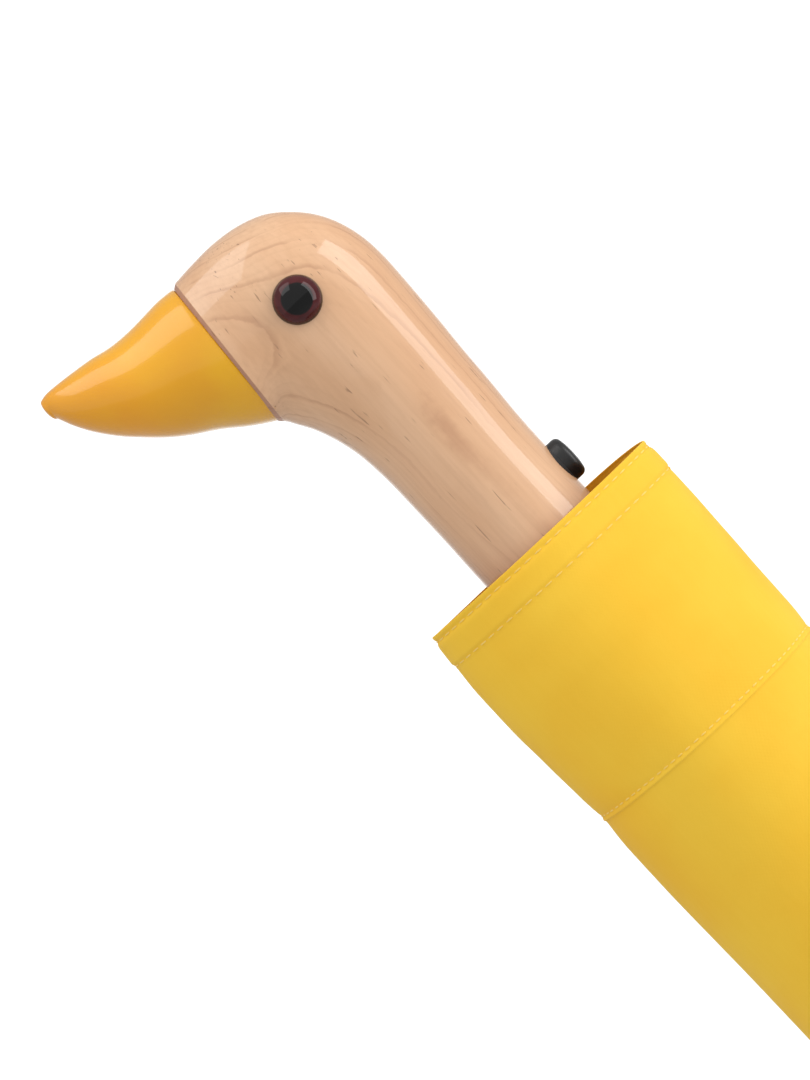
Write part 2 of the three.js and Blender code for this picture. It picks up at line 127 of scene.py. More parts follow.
def subdivide(obj):
    """Rounds the mesh once."""
    modifier = obj.modifiers.new("smooth", "SUBSURF")
    modifier.levels = modifier.render_levels = 1
    return obj


def thicken(obj, wall, offset=-1.0):
    """Gives a skin a wall: inside it at offset -1, and half on each side at 0."""
    modifier = obj.modifiers.new("wall", "SOLIDIFY")
    modifier.thickness, modifier.offset = wall, offset
    modifier.use_even_offset = True
    return obj


def curve_through(rows, t):
    """A smooth curve through rows of numbers; t is 0 at the first row and 1 at the last."""
    place = min(max(t, 0.0), 1.0) * (len(rows) - 1)
    i = min(int(place), len(rows) - 2)
    f = place - i
    before, a, b = rows[max(i - 1, 0)], rows[i], rows[i + 1]
    after = rows[min(i + 2, len(rows) - 1)]
    return [
        0.5 * (2 * q + (r - p) * f + (2 * p - 5 * q + 4 * r - s) * f**2 + (3 * q - p - 3 * r + s) * f**3)
        for p, q, r, s in zip(before, a, b, after)
    ]


def loft(rings, sides, cap_start=True, cap_end=True):
    """A skin through rings by extruding one circle; each ring is a function of the angle round it.

    Every vertex keeps its angle and ring number in the layers "turn" and "row"."""
    bm = bmesh.new()
    turn = bm.verts.layers.float.new("turn")
    row = bm.verts.layers.float.new("row")
    made = bmesh.ops.create_circle(bm, segments=sides, radius=1.0)["verts"]
    edges = bm.edges[:]
    for k, vert in enumerate(made):
        vert[turn] = TURN * k / sides
    for number, ring in enumerate(rings):
        if number:
            out = bmesh.ops.extrude_edge_only(bm, edges=edges)["geom"]
            made, edges = verts_of(out), edges_of(out)
        for vert in made:
            vert[row] = number
            vert.co = ring(vert[turn])
        if number == 0 and cap_start:
            bmesh.ops.contextual_create(bm, geom=edges)
    if cap_end:
        bmesh.ops.contextual_create(bm, geom=edges)
    return bm


def cloth_uv(bm, spot):
    """Lays the cloth flat: spot gives a vertex's place on the flat cloth, in metres."""
    layer = bm.loops.layers.uv.new("cloth")
    turn = bm.verts.layers.float["turn"]
    for face in bm.faces:
        across = any(loop.vert[turn] > TURN * 0.75 for loop in face.loops)
        for loop in face.loops:
            angle = loop.vert[turn]
            if across and angle < TURN * 0.25:
                angle += TURN
            loop[layer].uv = spot(loop.vert, angle)


def spun(profile, axis="Z", centre=(0, 0, 0), steps=48):
    """A profile of (radius, height) points turned about an axis through centre."""
    bm = bmesh.new()
    verts = [bm.verts.new((r, 0, h)) for r, h in profile]
    edges = [bm.edges.new(pair) for pair in zip(verts, verts[1:])]
    bmesh.ops.spin(
        bm, geom=verts + edges, cent=(0, 0, 0), axis=(0, 0, 1), dvec=(0, 0, 0),
        angle=TURN, steps=steps, use_merge=True, use_duplicate=False,
    )
    bmesh.ops.remove_doubles(bm, verts=bm.verts[:], dist=1e-7)
    turned = {
        "Z": Matrix.Identity(4),
        "X": Matrix.Rotation(math.pi / 2, 4, "Y"),
        "Y": Matrix.Rotation(-math.pi / 2, 4, "X"),
        "-Y": Matrix.Rotation(math.pi / 2, 4, "X"),
    }[axis]
    bmesh.ops.transform(bm, matrix=Matrix.Translation(centre) @ turned, verts=bm.verts[:])
    return bm


def arc(centre, radius, start, end, steps):
    """(radius, height) points along an arc, with angles in degrees from straight out."""
    points = []
    for k in range(steps + 1):
        a = math.radians(start + (end - start) * k / steps)
        points.append((centre[0] + radius * math.cos(a), centre[1] + radius * math.sin(a)))
    return points


# ---- Materials ----
class Value:
    """A number or vector that varies over a surface; sums on it add nodes to its material."""

    def __init__(self, finish, socket):
        self.finish, self.socket = finish, socket

    def sum(self, operation, *others):
        return self.finish.add("Math", list(others), operation=operation)

    def __add__(self, other):
        return self.sum("ADD", self, other)

    def __sub__(self, other):
        return self.sum("SUBTRACT", self, other)

    def __rsub__(self, other):
        return self.sum("SUBTRACT", other, self)

    def __mul__(self, other):
        return self.sum("MULTIPLY", self, other)

    def __pow__(self, other):
        return self.sum("POWER", self, other)

    __radd__, __rmul__ = __add__, __mul__

    def wave(self):
        return self.sum("SINE", self)

    def size(self):
        return self.sum("ABSOLUTE", self)

    def part(self):
        return self.sum("FRACT", self)

    def most(self, other):
        return self.sum("MAXIMUM", self, other)

    def between(self, low, high):
        """0 below low, 1 above high, and a smooth rise from one to the other."""
        return self.finish.add(
            "MapRange", {"Value": self, "From Min": low, "From Max": high}, interpolation_type="SMOOTHSTEP"
        )


class Finish:
    """A material built from values. Its shader is one Principled BSDF."""

    def __init__(self, name, **fixed):
        self.material = bpy.data.materials.new(name)
        self.material.use_nodes = True
        self.nodes = self.material.node_tree.nodes
        self.links = self.material.node_tree.links
        self.shader = self.nodes["Principled BSDF"]
        for key, value in fixed.items():
            socket = key.replace("_", " ").title().replace("Ior", "IOR")
            self.shader.inputs[socket].default_value = value

    def add(self, kind, inputs=(), out=0, **settings):
        """Adds one node, sets it up, joins its inputs, and gives one of its outputs as a Value."""
        node = self.nodes.new("ShaderNode" + kind)
        for key, value in settings.items():
            setattr(node, key, value)
        pairs = inputs.items() if isinstance(inputs, dict) else enumerate(inputs)
        for key, value in pairs:
            self.put(node.inputs[key], value)
        return Value(self, node.outputs[out])

    def put(self, socket, value):
        if isinstance(value, Value):
            self.links.new(value.socket, socket)
        elif isinstance(value, tuple) and socket.type == "RGBA":
            socket.default_value = (*value[:3], 1)
        else:
            socket.default_value = value

    def mix(self, share, a, b):
        """Colour a where share is 0, and b where it is 1."""
        node = self.nodes.new("ShaderNodeMix")
        node.data_type = "RGBA"
        for key, value in (("Factor_Float", share), ("A_Color", a), ("B_Color", b)):
            socket = next(s for s in node.inputs if s.identifier == key)
            self.put(socket, value)
        return Value(self, next(s for s in node.outputs if s.identifier == "Result_Color"))

    def place(self):
        """The point on the piece, in the row frame."""
        return self.add("TexCoord", out="Object")

    def flat(self):
        """The point on the cloth as it was cut."""
        return self.add("UVMap", uv_map="cloth")

    def split(self, vector):
        node = self.nodes.new("ShaderNodeSeparateXYZ")
        self.links.new(vector.socket, node.inputs[0])
        return [Value(self, node.outputs[k]) for k in range(3)]

    def join(self, x, y, z):
        return self.add("CombineXYZ", [x, y, z])

    def noise(self, vector, scale, detail=3.0, roughness=0.5):
        settings = {"Scale": scale, "Detail": detail, "Roughness": roughness}
        return self.add("TexNoise", {"Vector": vector, **settings})

    def stretch(self, vector, *scale):
        return self.add("Mapping", {"Vector": vector, "Scale": scale})

    def colour(self, value):
        self.put(self.shader.inputs["Base Color"], value)
        return self

    def rough(self, value):
        self.put(self.shader.inputs["Roughness"], value)
        return self

    def bump(self, height, distance, strength=1.0):
        inputs = {"Height": height, "Distance": distance, "Strength": strength}
        normal = self.add("Bump", inputs, out="Normal")
        self.put(self.shader.inputs["Normal"], normal)
        return self


YEAR_RING = 0.0029
FINE_RING = 0.0011
HEART_X = 0.004
HEART_DEPTH = 0.017


def maple(name, light, middle, dark, lacquer=0.8):
    """Pale maple with thin arched growth lines, fine fibres and short dark pores, under lacquer."""
    coat = {"coat_weight": lacquer, "coat_roughness": 0.05, "coat_ior": 1.55}
    finish = Finish(name, specular_ior_level=0.22, **coat)
    place = finish.place()
    x, y, z = finish.split(place)
    drift = finish.noise(finish.stretch(place, 1, 1, 0.35), 26, 2) - 0.5
    wobble = finish.noise(place, 420, 3) - 0.5
    # The tree's heart lies behind the far side and leans, so that the rings arch on the cheek.
    across = x - HEART_X + (z - 0.028) * (z - 0.028) * 3.2
    deep = y.size() + HEART_DEPTH
    rings = (across * across * 0.55 + deep * deep) ** 0.5 + drift * 0.0095 + wobble * 0.0005
    year = (rings * (1 / YEAR_RING)).part()
    line = year.between(0.78, 0.94) * (1 - year.between(0.95, 1.0))
    thin = (rings * (1 / FINE_RING) + drift * 3).part()
    faint = thin.between(0.5, 0.9) * (1 - thin.between(0.9, 1.0))
    fibre = finish.noise(finish.stretch(place, 1, 1, 0.05), 900, 4, 0.6)
    cloud = finish.noise(finish.stretch(place, 1, 1, 0.3), 55, 3)
    patchy = finish.noise(finish.stretch(place, 1, 1, 0.25), 110, 2).between(0.38, 0.62)
    pores = finish.noise(finish.stretch(place, 1, 1, 0.075), 1500, 1).between(0.665, 0.73)
    pores = pores * finish.noise(place, 130, 2).between(0.5, 0.62)
    base = finish.mix(cloud.between(0.3, 0.72), light, middle)
    tone = finish.mix(line * (0.06 + 0.26 * patchy) + faint * 0.06, base, dark)
    tone = finish.mix(fibre.between(0.35, 0.75) * 0.13, tone, dark)
    tone = finish.mix(pores * 0.55, tone, tuple(c * 0.5 for c in dark))
    finish.colour(tone)
    finish.rough(0.34 + 0.12 * fibre)
    return finish.bump(fibre * 0.3 - pores, 0.00003, 0.35).material


def bill_paint():
    """Glossy yellow enamel, more orange at the tip, with painted shade along the lower edge."""
    coat = {"coat_weight": 0.7, "coat_roughness": 0.05, "coat_ior": 1.45}
    finish = Finish("bill_paint", specular_ior_level=0.3, **coat)
    place = finish.place()
    x, _, z = finish.split(place)
    pool = finish.noise(place, 45, 3)
    tip = 1 - x.between(-0.061, -0.036)
    shade = finish.mix(pool.between(0.35, 0.7), (0.91, 0.475, 0.006), (0.88, 0.40, 0.004))
    shade = finish.mix(tip * 0.55, shade, (0.80, 0.26, 0.010))
    # Painted shade: the enamel darkens towards the bill's lower edge.
    low = 1 - (z - x * 0.85).between(0.078, 0.1)
    finish.colour(finish.mix(low * 0.3, shade, (0.60, 0.28, 0.008)))
    finish.rough(0.2 + 0.08 * pool)
    return finish.bump(finish.noise(place, 420, 2), 0.00004, 0.12).material


def eye_glass(x0, z0, radius):
    """A black pupil in a dark red-brown iris, under a clear dome."""
    coat = {"coat_weight": 1.0, "coat_roughness": 0.0, "coat_ior": 1.36}
    finish = Finish("eye_glass", specular_ior_level=0.0, **coat)
    place = finish.place()
    x, _, z = finish.split(place)
    from_middle = ((x - x0) ** 2 + (z - z0) ** 2) ** 0.5 * (1 / radius)
    streak = finish.noise(place, 500, 1)
    iris = finish.mix(streak.between(0.3, 0.7), (0.080, 0.010, 0.012), (0.060, 0.007, 0.008))
    ring = finish.mix(from_middle.between(0.6, 0.68), (0.003, 0.003, 0.003), iris)
    finish.colour(finish.mix(from_middle.between(0.88, 0.98), ring, (0.012, 0.003, 0.003)))
    return finish.material


def button_plastic():
    """Black plastic with a fine matt grain."""
    finish = Finish("button_plastic", specular_ior_level=0.5)
    grain = finish.noise(finish.place(), 2600, 2)
    finish.colour(finish.mix(grain, (0.006, 0.006, 0.006), (0.014, 0.013, 0.013)))
    finish.rough(0.3 + 0.14 * grain)
    return finish.bump(grain, 0.00002, 0.3).material


STITCH_PITCH = 0.0032
STITCHES_FROM_SEAM = 0.0022
STITCHES_FROM_HEM = 0.0055
SEAM_FOLD = (0.0030, 0.0034)
HEM_FOLD = (0.0066, 0.0070)
STITCH_HALF_WIDTH = (0.0002, 0.0004)


def dashes(along):
    """1 on each stitch of a row and 0 in the gaps between them."""
    place = (along * (1 / STITCH_PITCH)).part()
    return place.between(0.1, 0.2) * (1 - place.between(0.8, 0.9))


def sewn_marks(finish, u, v):
    """The stitches, and the doubled cloth of the folds, beside each rib and along the hem."""
    seam, hem, _ = finish.split(finish.add("UVMap", uv_map="edges"))
    seam_row = 1 - (seam - STITCHES_FROM_SEAM).size().between(*STITCH_HALF_WIDTH)
    hem_row = 1 - (hem - STITCHES_FROM_HEM).size().between(*STITCH_HALF_WIDTH)
    sewing = (seam_row * dashes(v)).most(hem_row * dashes(u))
    fold = (1 - hem.between(*HEM_FOLD)).most(1 - seam.between(*SEAM_FOLD))
    return sewing, fold


def woven(name, light, deep, pitch, sheen, sewn=False):
    """Fine plain weave that follows the cloth, with soft changes of tone over it."""
    fuzz = {"sheen_weight": sheen, "sheen_roughness": 0.4, "sheen_tint": (1.0, 0.86, 0.5, 1.0)}
    finish = Finish(name, specular_ior_level=0.3, **fuzz)
    u, v, _ = finish.split(finish.flat())
    warp = (u * (TURN / pitch)).wave()
    weft = (v * (TURN / pitch)).wave()
    weave = warp * weft * 0.5 + 0.5
    slub = finish.noise(finish.join(u * 900, v * 60, 0.0), 1.0, 2)
    cloud = finish.noise(finish.join(u, v, 0.0), 24, 3)
    tone = finish.mix(cloud.between(0.3, 0.7), light, deep)
    tone = finish.mix(weave * 0.10 + slub * 0.08, tone, tuple(c * 0.72 for c in deep))
    height = weave + slub * 0.5
    if sewn:
        sewing, fold = sewn_marks(finish, u, v)
        tone = finish.mix(fold * 0.35, tone, tuple(c * 0.8 for c in deep))
        tone = finish.mix(sewing, tone, (0.98, 0.74, 0.16))
        height = height + fold * 2 + sewing * 2
    finish.colour(tone)
    finish.rough(0.62 + 0.14 * slub)
    return finish.bump(height, 0.00006, 0.5).material


def thread(name, light, deep):
    """Twisted sewing thread."""
    finish = Finish(name, sheen_weight=0.3)
    twist = finish.noise(finish.stretch(finish.place(), 1, 1, 2), 2500, 2)
    finish.colour(finish.mix(twist, light, deep))
    finish.rough(0.55 + 0.2 * twist)
    return finish.bump(twist, 0.00005, 0.5).material


def bright_metal(name, tone, rough, metallic=1.0):
    """Plated or bare metal with fine lengthwise drawing marks and faint clouds."""
    finish = Finish(name, metallic=metallic)
    place = finish.place()
    marks = finish.noise(finish.stretch(place, 1, 1, 0.02), 2400, 3)
    cloud = finish.noise(place, 60, 3)
    finish.colour(finish.mix(cloud.between(0.35, 0.7), tone, tuple(c * 0.82 for c in tone)))
    finish.rough(rough + 0.12 * marks + 0.06 * cloud)
    return finish.bump(marks, 0.00002, 0.25).material


def moulded(name, tone, rough=0.42):
    """Moulded plastic with a fine spark-eroded grain."""
    finish = Finish(name)
    place = finish.place()
    grain = finish.noise(place, 3200, 2)
    flow = finish.noise(place, 90, 2)
    finish.colour(finish.mix(flow, tone, tuple(c * 1.6 + 0.004 for c in tone)))
    finish.rough(rough + 0.16 * grain)
    return finish.bump(grain, 0.00003, 0.35).material


def studio_white():
    """Pale floor that glows with painted light straight behind the umbrella, where it is also whiter than
    round it.
    """
    finish = Finish("studio_white", emission_strength=1.0)
    place = finish.place()
    x, y, _ = finish.split(place)
    behind = (y * 0.5 - x.size()).between(-0.1, 0.9)
    grain = finish.noise(place, 40, 2)
    finish.colour(finish.mix(behind + grain * 0.04, (0.74, 0.74, 0.74), (0.93, 0.93, 0.93)))
    # Painted light: the floor glows behind the umbrella though it is no lamp.
    finish.put(finish.shader.inputs["Emission Color"], finish.mix(behind, (0, 0, 0), (0.5, 0.5, 0.5)))
    finish.rough(0.8 + 0.1 * grain)
    return finish.material


WOOD = maple("maple", (0.77, 0.475, 0.28), (0.71, 0.405, 0.22), (0.38, 0.16, 0.08))
RAW_WOOD = maple("joint_face", (0.56, 0.31, 0.21), (0.42, 0.21, 0.13), (0.22, 0.10, 0.05), lacquer=0)
BILL = bill_paint()
BUTTON = button_plastic()
SLEEVE_CLOTH = woven("sleeve_cloth", (0.97, 0.61, 0.045), (0.95, 0.54, 0.028), 0.00042, 0.25)
# Painted shade: the sleeve's inside is a darker, more orange copy of its cloth.
SLEEVE_INSIDE_SHADED = woven("sleeve_inside_shaded", (0.84, 0.40, 0.012), (0.80, 0.36, 0.010), 0.00042, 0.1)
CANOPY_CLOTH = woven("canopy_cloth", (0.94, 0.58, 0.04), (0.92, 0.54, 0.03), 0.00036, 0.2)
SEWN_CLOTH = woven("sewn_canopy_cloth", (0.94, 0.58, 0.04), (0.92, 0.54, 0.03), 0.00036, 0.2, sewn=True)
THREAD = thread("yellow_thread", (1.0, 0.76, 0.20), (0.94, 0.62, 0.09))
PLATED = bright_metal("plated_tube", (0.72, 0.73, 0.75), 0.12)
WIRE = bright_metal("spring_wire", (0.46, 0.46, 0.48), 0.26)
BLACK_STEEL = bright_metal("black_channel", (0.025, 0.025, 0.028), 0.34, metallic=0.35)
ROD_STEEL = bright_metal("rib_rod", (0.38, 0.39, 0.41), 0.28)
BLACK_NYLON = moulded("black_nylon", (0.012, 0.012, 0.013))
STUDIO = studio_white()

# ---- Camera, light and floor ----
LEAN = math.radians(43)  # how far the shaft leans to the left of upright as the camera sees it
CAMERA_DISTANCE = 0.9
CAMERA_LENS_MM = 132
CAMERA_AIM = Vector((-0.0222, 0.0, MOUTH_Z + 0.0204))
VIEW_UP = Vector((math.sin(LEAN), 0, math.cos(LEAN)))
VIEW_RIGHT = Vector((math.cos(LEAN), 0, -math.sin(LEAN)))
LIGHT_AIM = (-0.01, 0, 0.01)
FLOOR_RADIUS = 14
FLOOR_GAP = 0.004  # under the sleeve when it has slid down as far as it goes


def add_camera():
    """A long lens, level, facing the bird's left side from just above the sleeve's mouth."""
    data = bpy.data.cameras.new("camera")
    data.lens = CAMERA_LENS_MM
    data.clip_start = 0.05
    camera = bpy.data.objects.new("camera", data)
    bpy.context.scene.collection.objects.link(camera)
    turn = Matrix((VIEW_RIGHT, VIEW_UP, Vector((0, -1, 0)))).transposed()
    place = CAMERA_AIM - Vector((0, CAMERA_DISTANCE, 0))
    camera.matrix_world = Matrix.Translation(place) @ turn.to_4x4()
    bpy.context.scene.camera = camera


def add_softbox(name, place, width, height, power):
    """A rectangle of light, turned towards the handle."""
    data = bpy.data.lights.new(name, "AREA")
    data.shape = "RECTANGLE"
    data.size, data.size_y = width, height
    data.energy = power
    lamp = bpy.data.objects.new(name, data)
    bpy.context.scene.collection.objects.link(lamp)
    lamp.location = place
    lamp.rotation_euler = (Vector(LIGHT_AIM) - Vector(place)).to_track_quat("-Z", "Y").to_euler()


def light_dome(front, side, back):
    """Light from all round: soft in front, dimmer at the sides, white straight behind the umbrella."""
    world = bpy.data.worlds.new("studio")
    world.use_nodes = True
    nodes, links = world.node_tree.nodes, world.node_tree.links
    way = nodes.new("ShaderNodeTexCoord")
    split = nodes.new("ShaderNodeSeparateXYZ")
    dim = nodes.new("ShaderNodeMapRange")
    rise = nodes.new("ShaderNodeMapRange")
    for key, value in (("From Min", -0.3), ("From Max", 0.4), ("To Min", front), ("To Max", side)):
        dim.inputs[key].default_value = value
    for key, value in (("From Min", 0.86), ("From Max", 0.97), ("To Max", back)):
        rise.inputs[key].default_value = value
    links.new(way.outputs["Generated"], split.inputs[0])
    links.new(split.outputs["Y"], dim.inputs["Value"])
    links.new(split.outputs["Y"], rise.inputs["Value"])
    links.new(dim.outputs[0], rise.inputs["To Min"])
    links.new(rise.outputs[0], nodes["Background"].inputs["Strength"])
    nodes["Background"].inputs["Color"].default_value = (1, 1, 1, 1)
    bpy.context.scene.world = world


def add_studio():
    """A wide pale floor, soft light from all round, and a softbox above and at the right.

    The floor lies below the reach of the sleeve, with the shaft drawn out and the sleeve off."""
    slides = ("sleeve_off", "shaft_extend", "shaft_extend_inner")
    reach = sum(JOINTS[name]["range_m"][1] for name in slides)
    bm = bmesh.new()
    bmesh.ops.create_circle(bm, cap_ends=True, segments=96, radius=FLOOR_RADIUS)
    bmesh.ops.translate(bm, verts=bm.verts[:], vec=(0, 0, SLEEVE_END_Z - reach - FLOOR_GAP))
    piece("studio_floor", bm, STUDIO, recalc=False)
    light_dome(front=0.88, side=0.5, back=1.3)
    bpy.context.scene.view_settings.view_transform = "Standard"
    add_softbox("right_box", (0.79, -0.30, -0.04), width=0.42, height=1.2, power=5.0)
    add_softbox("top_box", (-0.10, -0.26, 0.85), width=0.56, height=0.66, power=2.2)


# ---- The handle ----
# The carved outline, in millimetres above the sleeve's mouth: a point on the back or crown of the
# head, the point facing it on the throat, and half the width across.
WOOD_OUTLINE_MM = [
    (16, -42, -16, -42, 16),
    (16, -21, -16, -21, 16),
    (16, 0, -16, 0, 16),
    (15.9, 14, -15.8, 14, 16),
    (16.1, 24, -15.8, 24, 16),
    (16.7, 34, -15.9, 33, 16),
    (17.1, 43, -16.6, 41, 16.1),
    (17.6, 50.5, -17.8, 46.3, 16.2),
    (18.0, 58, -19.0, 49.9, 16.4),
    (18.3, 65, -20.2, 52.7, 16.5),
    (18.4, 71.5, -21.3, 54.7, 16.6),
    (17.8, 77.5, -22.1, 56, 16.6),
    (16.2, 83.2, -22.6, 56.9, 16.6),
    (13.6, 88.2, -22.9, 57.4, 16.5),
    (9.8, 92.6, -23.1, 57.8, 16.4),
    (4.8, 96.4, -23.3, 58.1, 16.3),
    (-1.6, 98.6, -23.45, 58.3, 16.2),
    (-8.5, 99.4, -23.6, 58.45, 16.1),
    (-15.0, 99.2, -23.7, 58.6, 16.05),
    (-20.6, 98.7, -23.8, 58.7, 16.0),
]
BILL_OUTLINE_MM = [
    (-21.9, 98.1, -24.4, 59.6, 15.6),
    (-26.5, 98.4, -30.2, 63.2, 15.1),
    (-31.5, 98.1, -35.8, 67.4, 14.4),
    (-36.5, 97.9, -41.0, 70.6, 13.5),
    (-41.5, 98.2, -45.6, 74.0, 12.4),
    (-46.5, 99.2, -49.7, 77.8, 11.0),
    (-51.5, 99.8, -53.6, 81.8, 9.3),
    (-56.0, 100.2, -57.0, 86.2, 7.3),
    (-59.2, 100.3, -59.5, 90.4, 5.2),
    (-61.1, 99.9, -61.2, 94.4, 3.0),
]
# The faces that meet at the bill: each ring's inset and how far it stands forward, in millimetres.
WOOD_FACE_MM = [(0.12, 0.1), (1.0, 1.1), (2.2, 1.15)]
BILL_FACE_MM = [(2.2, -0.2), (0.5, -0.12), (0.12, 0.05)]
NECK_ROUND_MM = 0.8
WOOD_STEPS = 110
BILL_STEPS = 46
BILL_TIP_STEPS = 6
HANDLE_SIDES = 72


def outline_ring(row, inset=0.0, push=0.0, squareness=1.0):
    """An oval ring across the handle, taken in by inset and pushed forward, in millimetres."""
    bx, bz, tx, tz, half_width = row
    back = Vector((bx, 0, bz)) * MM + Vector((0, 0, MOUTH_Z))
    throat = Vector((tx, 0, tz)) * MM + Vector((0, 0, MOUTH_Z))
    centre, half = (back + throat) / 2, (back - throat) / 2
    forward = Vector((-half.z, 0, half.x)).normalized()
    reach = half.length - inset * MM
    width = half_width * MM - inset * MM
    middle = centre + forward * push * MM

    def place(turn):
        c, s = math.cos(turn), math.sin(turn)
        side = math.copysign(abs(s) ** squareness, s)
        return middle + half.normalized() * (reach * c) + Vector((0, width * side, 0))

    return place


def handle_wood():
    """The carved head and neck, with a bare face where the bill is fitted."""
    rows = [curve_through(WOOD_OUTLINE_MM, k / WOOD_STEPS) for k in range(WOOD_STEPS + 1)]
    start, end = rows[0], rows[-1]
    rings = [outline_ring(start, NECK_ROUND_MM)] + [outline_ring(row) for row in rows[1:]]
    joint = len(rings)
    rings += [outline_ring(end, inset, push) for inset, push in WOOD_FACE_MM]
    bm = loft(rings, HANDLE_SIDES)
    row = bm.verts.layers.float["row"]
    for face in bm.faces:
        if min(vert[row] for vert in face.verts) >= joint:
            face.material_index = 1
    wood = piece("handle_wood", bm, [WOOD, RAW_WOOD])
    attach(wood, "handle")
    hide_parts("head_and_neck")


def bill():
    """The painted bill, closed by a small rounded tip."""
    rows = [curve_through(BILL_OUTLINE_MM, (k / BILL_STEPS) ** 0.92) for k in range(BILL_STEPS + 1)]
    first, last = rows[0], rows[-1]
    rings = [outline_ring(first, inset, push) for inset, push in BILL_FACE_MM]
    for k, row in enumerate(rows[1:]):
        rings.append(outline_ring(row, squareness=1.0 - 0.08 * k / BILL_STEPS))
    reach = (Vector((last[0], last[1])) - Vector((last[2], last[3]))).length / 2
    for k in range(1, BILL_TIP_STEPS):
        a = math.pi / 2 * k / BILL_TIP_STEPS
        rings.append(outline_ring(last, reach * (1 - math.cos(a)) * 0.99, math.sin(a)))
    bm = loft(rings, HANDLE_SIDES)
    made = subdivide(piece("bill_painted", bm, BILL))
    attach(made, "handle")
    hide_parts("bill")


EYE_SEAT = 0.0152  # from the middle of the head to the foot of the dome, just inside the wood
EYE_BAND = 0.0008
EYE_DOME_FOOT = 0.0009
EYE_STEPS = 12


def eyes():
    """A glass dome on a short straight band, on each side of the head."""
    for name, side, axis in (("eye_left", -1, "-Y"), ("eye_right", 1, "Y")):
        low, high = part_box(name)
        x0, z0 = (low.x + high.x) / 2, (low.z + high.z) / 2
        radius = (high.x - low.x) / 2
        tip = abs(low.y) if side < 0 else high.y
        dome = tip - EYE_SEAT - EYE_DOME_FOOT
        profile = [(0, 0), (radius * 0.97, 0), (radius, 0.0003), (radius, EYE_BAND)]
        for k in range(1, EYE_STEPS):
            a = math.pi / 2 * k / EYE_STEPS
            profile.append((radius * math.cos(a), EYE_DOME_FOOT + dome * math.sin(a)))
        profile.append((0, EYE_DOME_FOOT + dome))
        bm = spun(profile, axis, (x0, side * EYE_SEAT, z0), 64)
        made = piece(name + "_glass", bm, eye_glass(x0, z0, radius))
        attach(made, "handle")
        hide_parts(name)


BUTTON_FOOT = 0.0138  # where the cap starts, inside the neck
BUTTON_EASE = 0.0004
BUTTON_ROLL = 0.0015
SHADE_RING_GAP = 0.00035
SHADE_RING_WALL = 0.0003
SHADE_RING_LOW, SHADE_RING_HIGH = 0.0135, 0.0156


def release_button():
    """A round cap with a softly rolled rim, standing in a black ring let into the neck, painted shade for
    the gap round the cap.
    """
    top = BUTTON_HIGH.x
    centre = (0, 0, (BUTTON_LOW.z + BUTTON_HIGH.z) / 2)
    radius = (BUTTON_HIGH.z - BUTTON_LOW.z) / 2
    profile = [(0, BUTTON_FOOT), (radius - BUTTON_EASE, BUTTON_FOOT), (radius, BUTTON_FOOT + BUTTON_EASE)]
    profile += arc((radius - BUTTON_ROLL, top - BUTTON_ROLL), BUTTON_ROLL, 0, 80, 7)
    profile += [(radius * 0.5, top + 0.00022), (radius * 0.2, top + 0.00032), (0, top + 0.00034)]
    made = piece("button_cap", spun(profile, "X", centre, 64), BUTTON)
    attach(made, "button")
    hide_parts("release_button")
    # Painted shade: a thin black ring round the cap stands for the shaded gap between the button and the
    # wood.
    outer = radius + SHADE_RING_GAP
    inner = outer - SHADE_RING_WALL
    ring = [(inner, SHADE_RING_LOW), (outer, SHADE_RING_LOW), (outer, SHADE_RING_HIGH)]
    ring += [(inner, SHADE_RING_HIGH + 0.0001), (inner, SHADE_RING_LOW)]
    gap_shade = piece("button_gap_shade", spun(ring, "X", centre, 48), BLACK_NYLON)
    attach(gap_shade, "handle")


COLLAR_BORE = 0.0064
COLLAR_NECK = 0.0083
COLLAR_FLANGE = 0.002
COLLAR_DEPTH = 0.006
COLLAR_EASE = 0.0004


def ferrule():
    """The flanged collar in the end of the neck, which the shaft comes out of."""
    low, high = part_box("neck_ferrule")
    outer, foot = high.x, low.z
    profile = [
        (COLLAR_BORE, foot),
        (outer - COLLAR_EASE, foot),
        (outer, foot + COLLAR_EASE),
        (outer, foot + COLLAR_FLANGE - COLLAR_EASE),
        (outer - COLLAR_EASE, foot + COLLAR_FLANGE),
        (COLLAR_NECK, foot + COLLAR_FLANGE),
        (COLLAR_NECK, foot + COLLAR_DEPTH),
        (COLLAR_BORE, foot + COLLAR_DEPTH),
        (COLLAR_BORE, foot),
    ]
    made = piece("neck_collar", spun(profile), BLACK_NYLON)
    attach(made, "handle")
    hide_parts("neck_ferrule")


# ---- The sleeve ----
# Distance below the mouth, reach towards the bill's side, reach towards the button's side, and
# half depth, in millimetres.
SLEEVE_SHAPE_MM = [
    (0, 32.6, 32.6, 18.6),
    (4, 33.1, 33.0, 19.2),
    (9, 33.5, 33.0, 19.8),
    (16, 34.0, 33.0, 20.8),
    (28, 34.0, 32.7, 22.2),
    (40, 33.4, 32.3, 23.0),
    (50, 32.9, 32.1, 23.3),
    (57.5, 32.3, 31.5, 23.4),
    (64, 32.9, 31.8, 23.5),
    (80, 33.0, 31.9, 23.6),
    (110, 32.6, 31.9, 23.7),
    (145, 32.4, 31.8, 23.6),
    (180, 32.0, 31.6, 23.6),
    (210, 31.6, 31.3, 23.4),
    (226, 31.2, 31.0, 23.0),
    (235, 30.4, 30.2, 22.0),
    (239.6, 28.6, 28.6, 20.2),
    (241.4, 25.8, 25.8, 17.4),
]
HEM_ROWS_MM = (1.6, 8.5)
CUFF_DEPTH_MM = (MOUTH_Z - SEAM_Z) / MM
SEAM_ROW_MM = CUFF_DEPTH_MM - 1.3
HEM_EDGE_MM = 9.0
SLEEVE_WALL = 0.0006
SLEEVE_SIDES = 120
SLEEVE_PERIMETER = 0.172
SLEEVE_ROUND = 1.35  # above 1 the sides draw in to a soft edge


def dent(distance, at, width):
    """1 at a place and falling smoothly to 0 on both sides of it."""
    return math.exp(-(((distance - at) / width) ** 2))


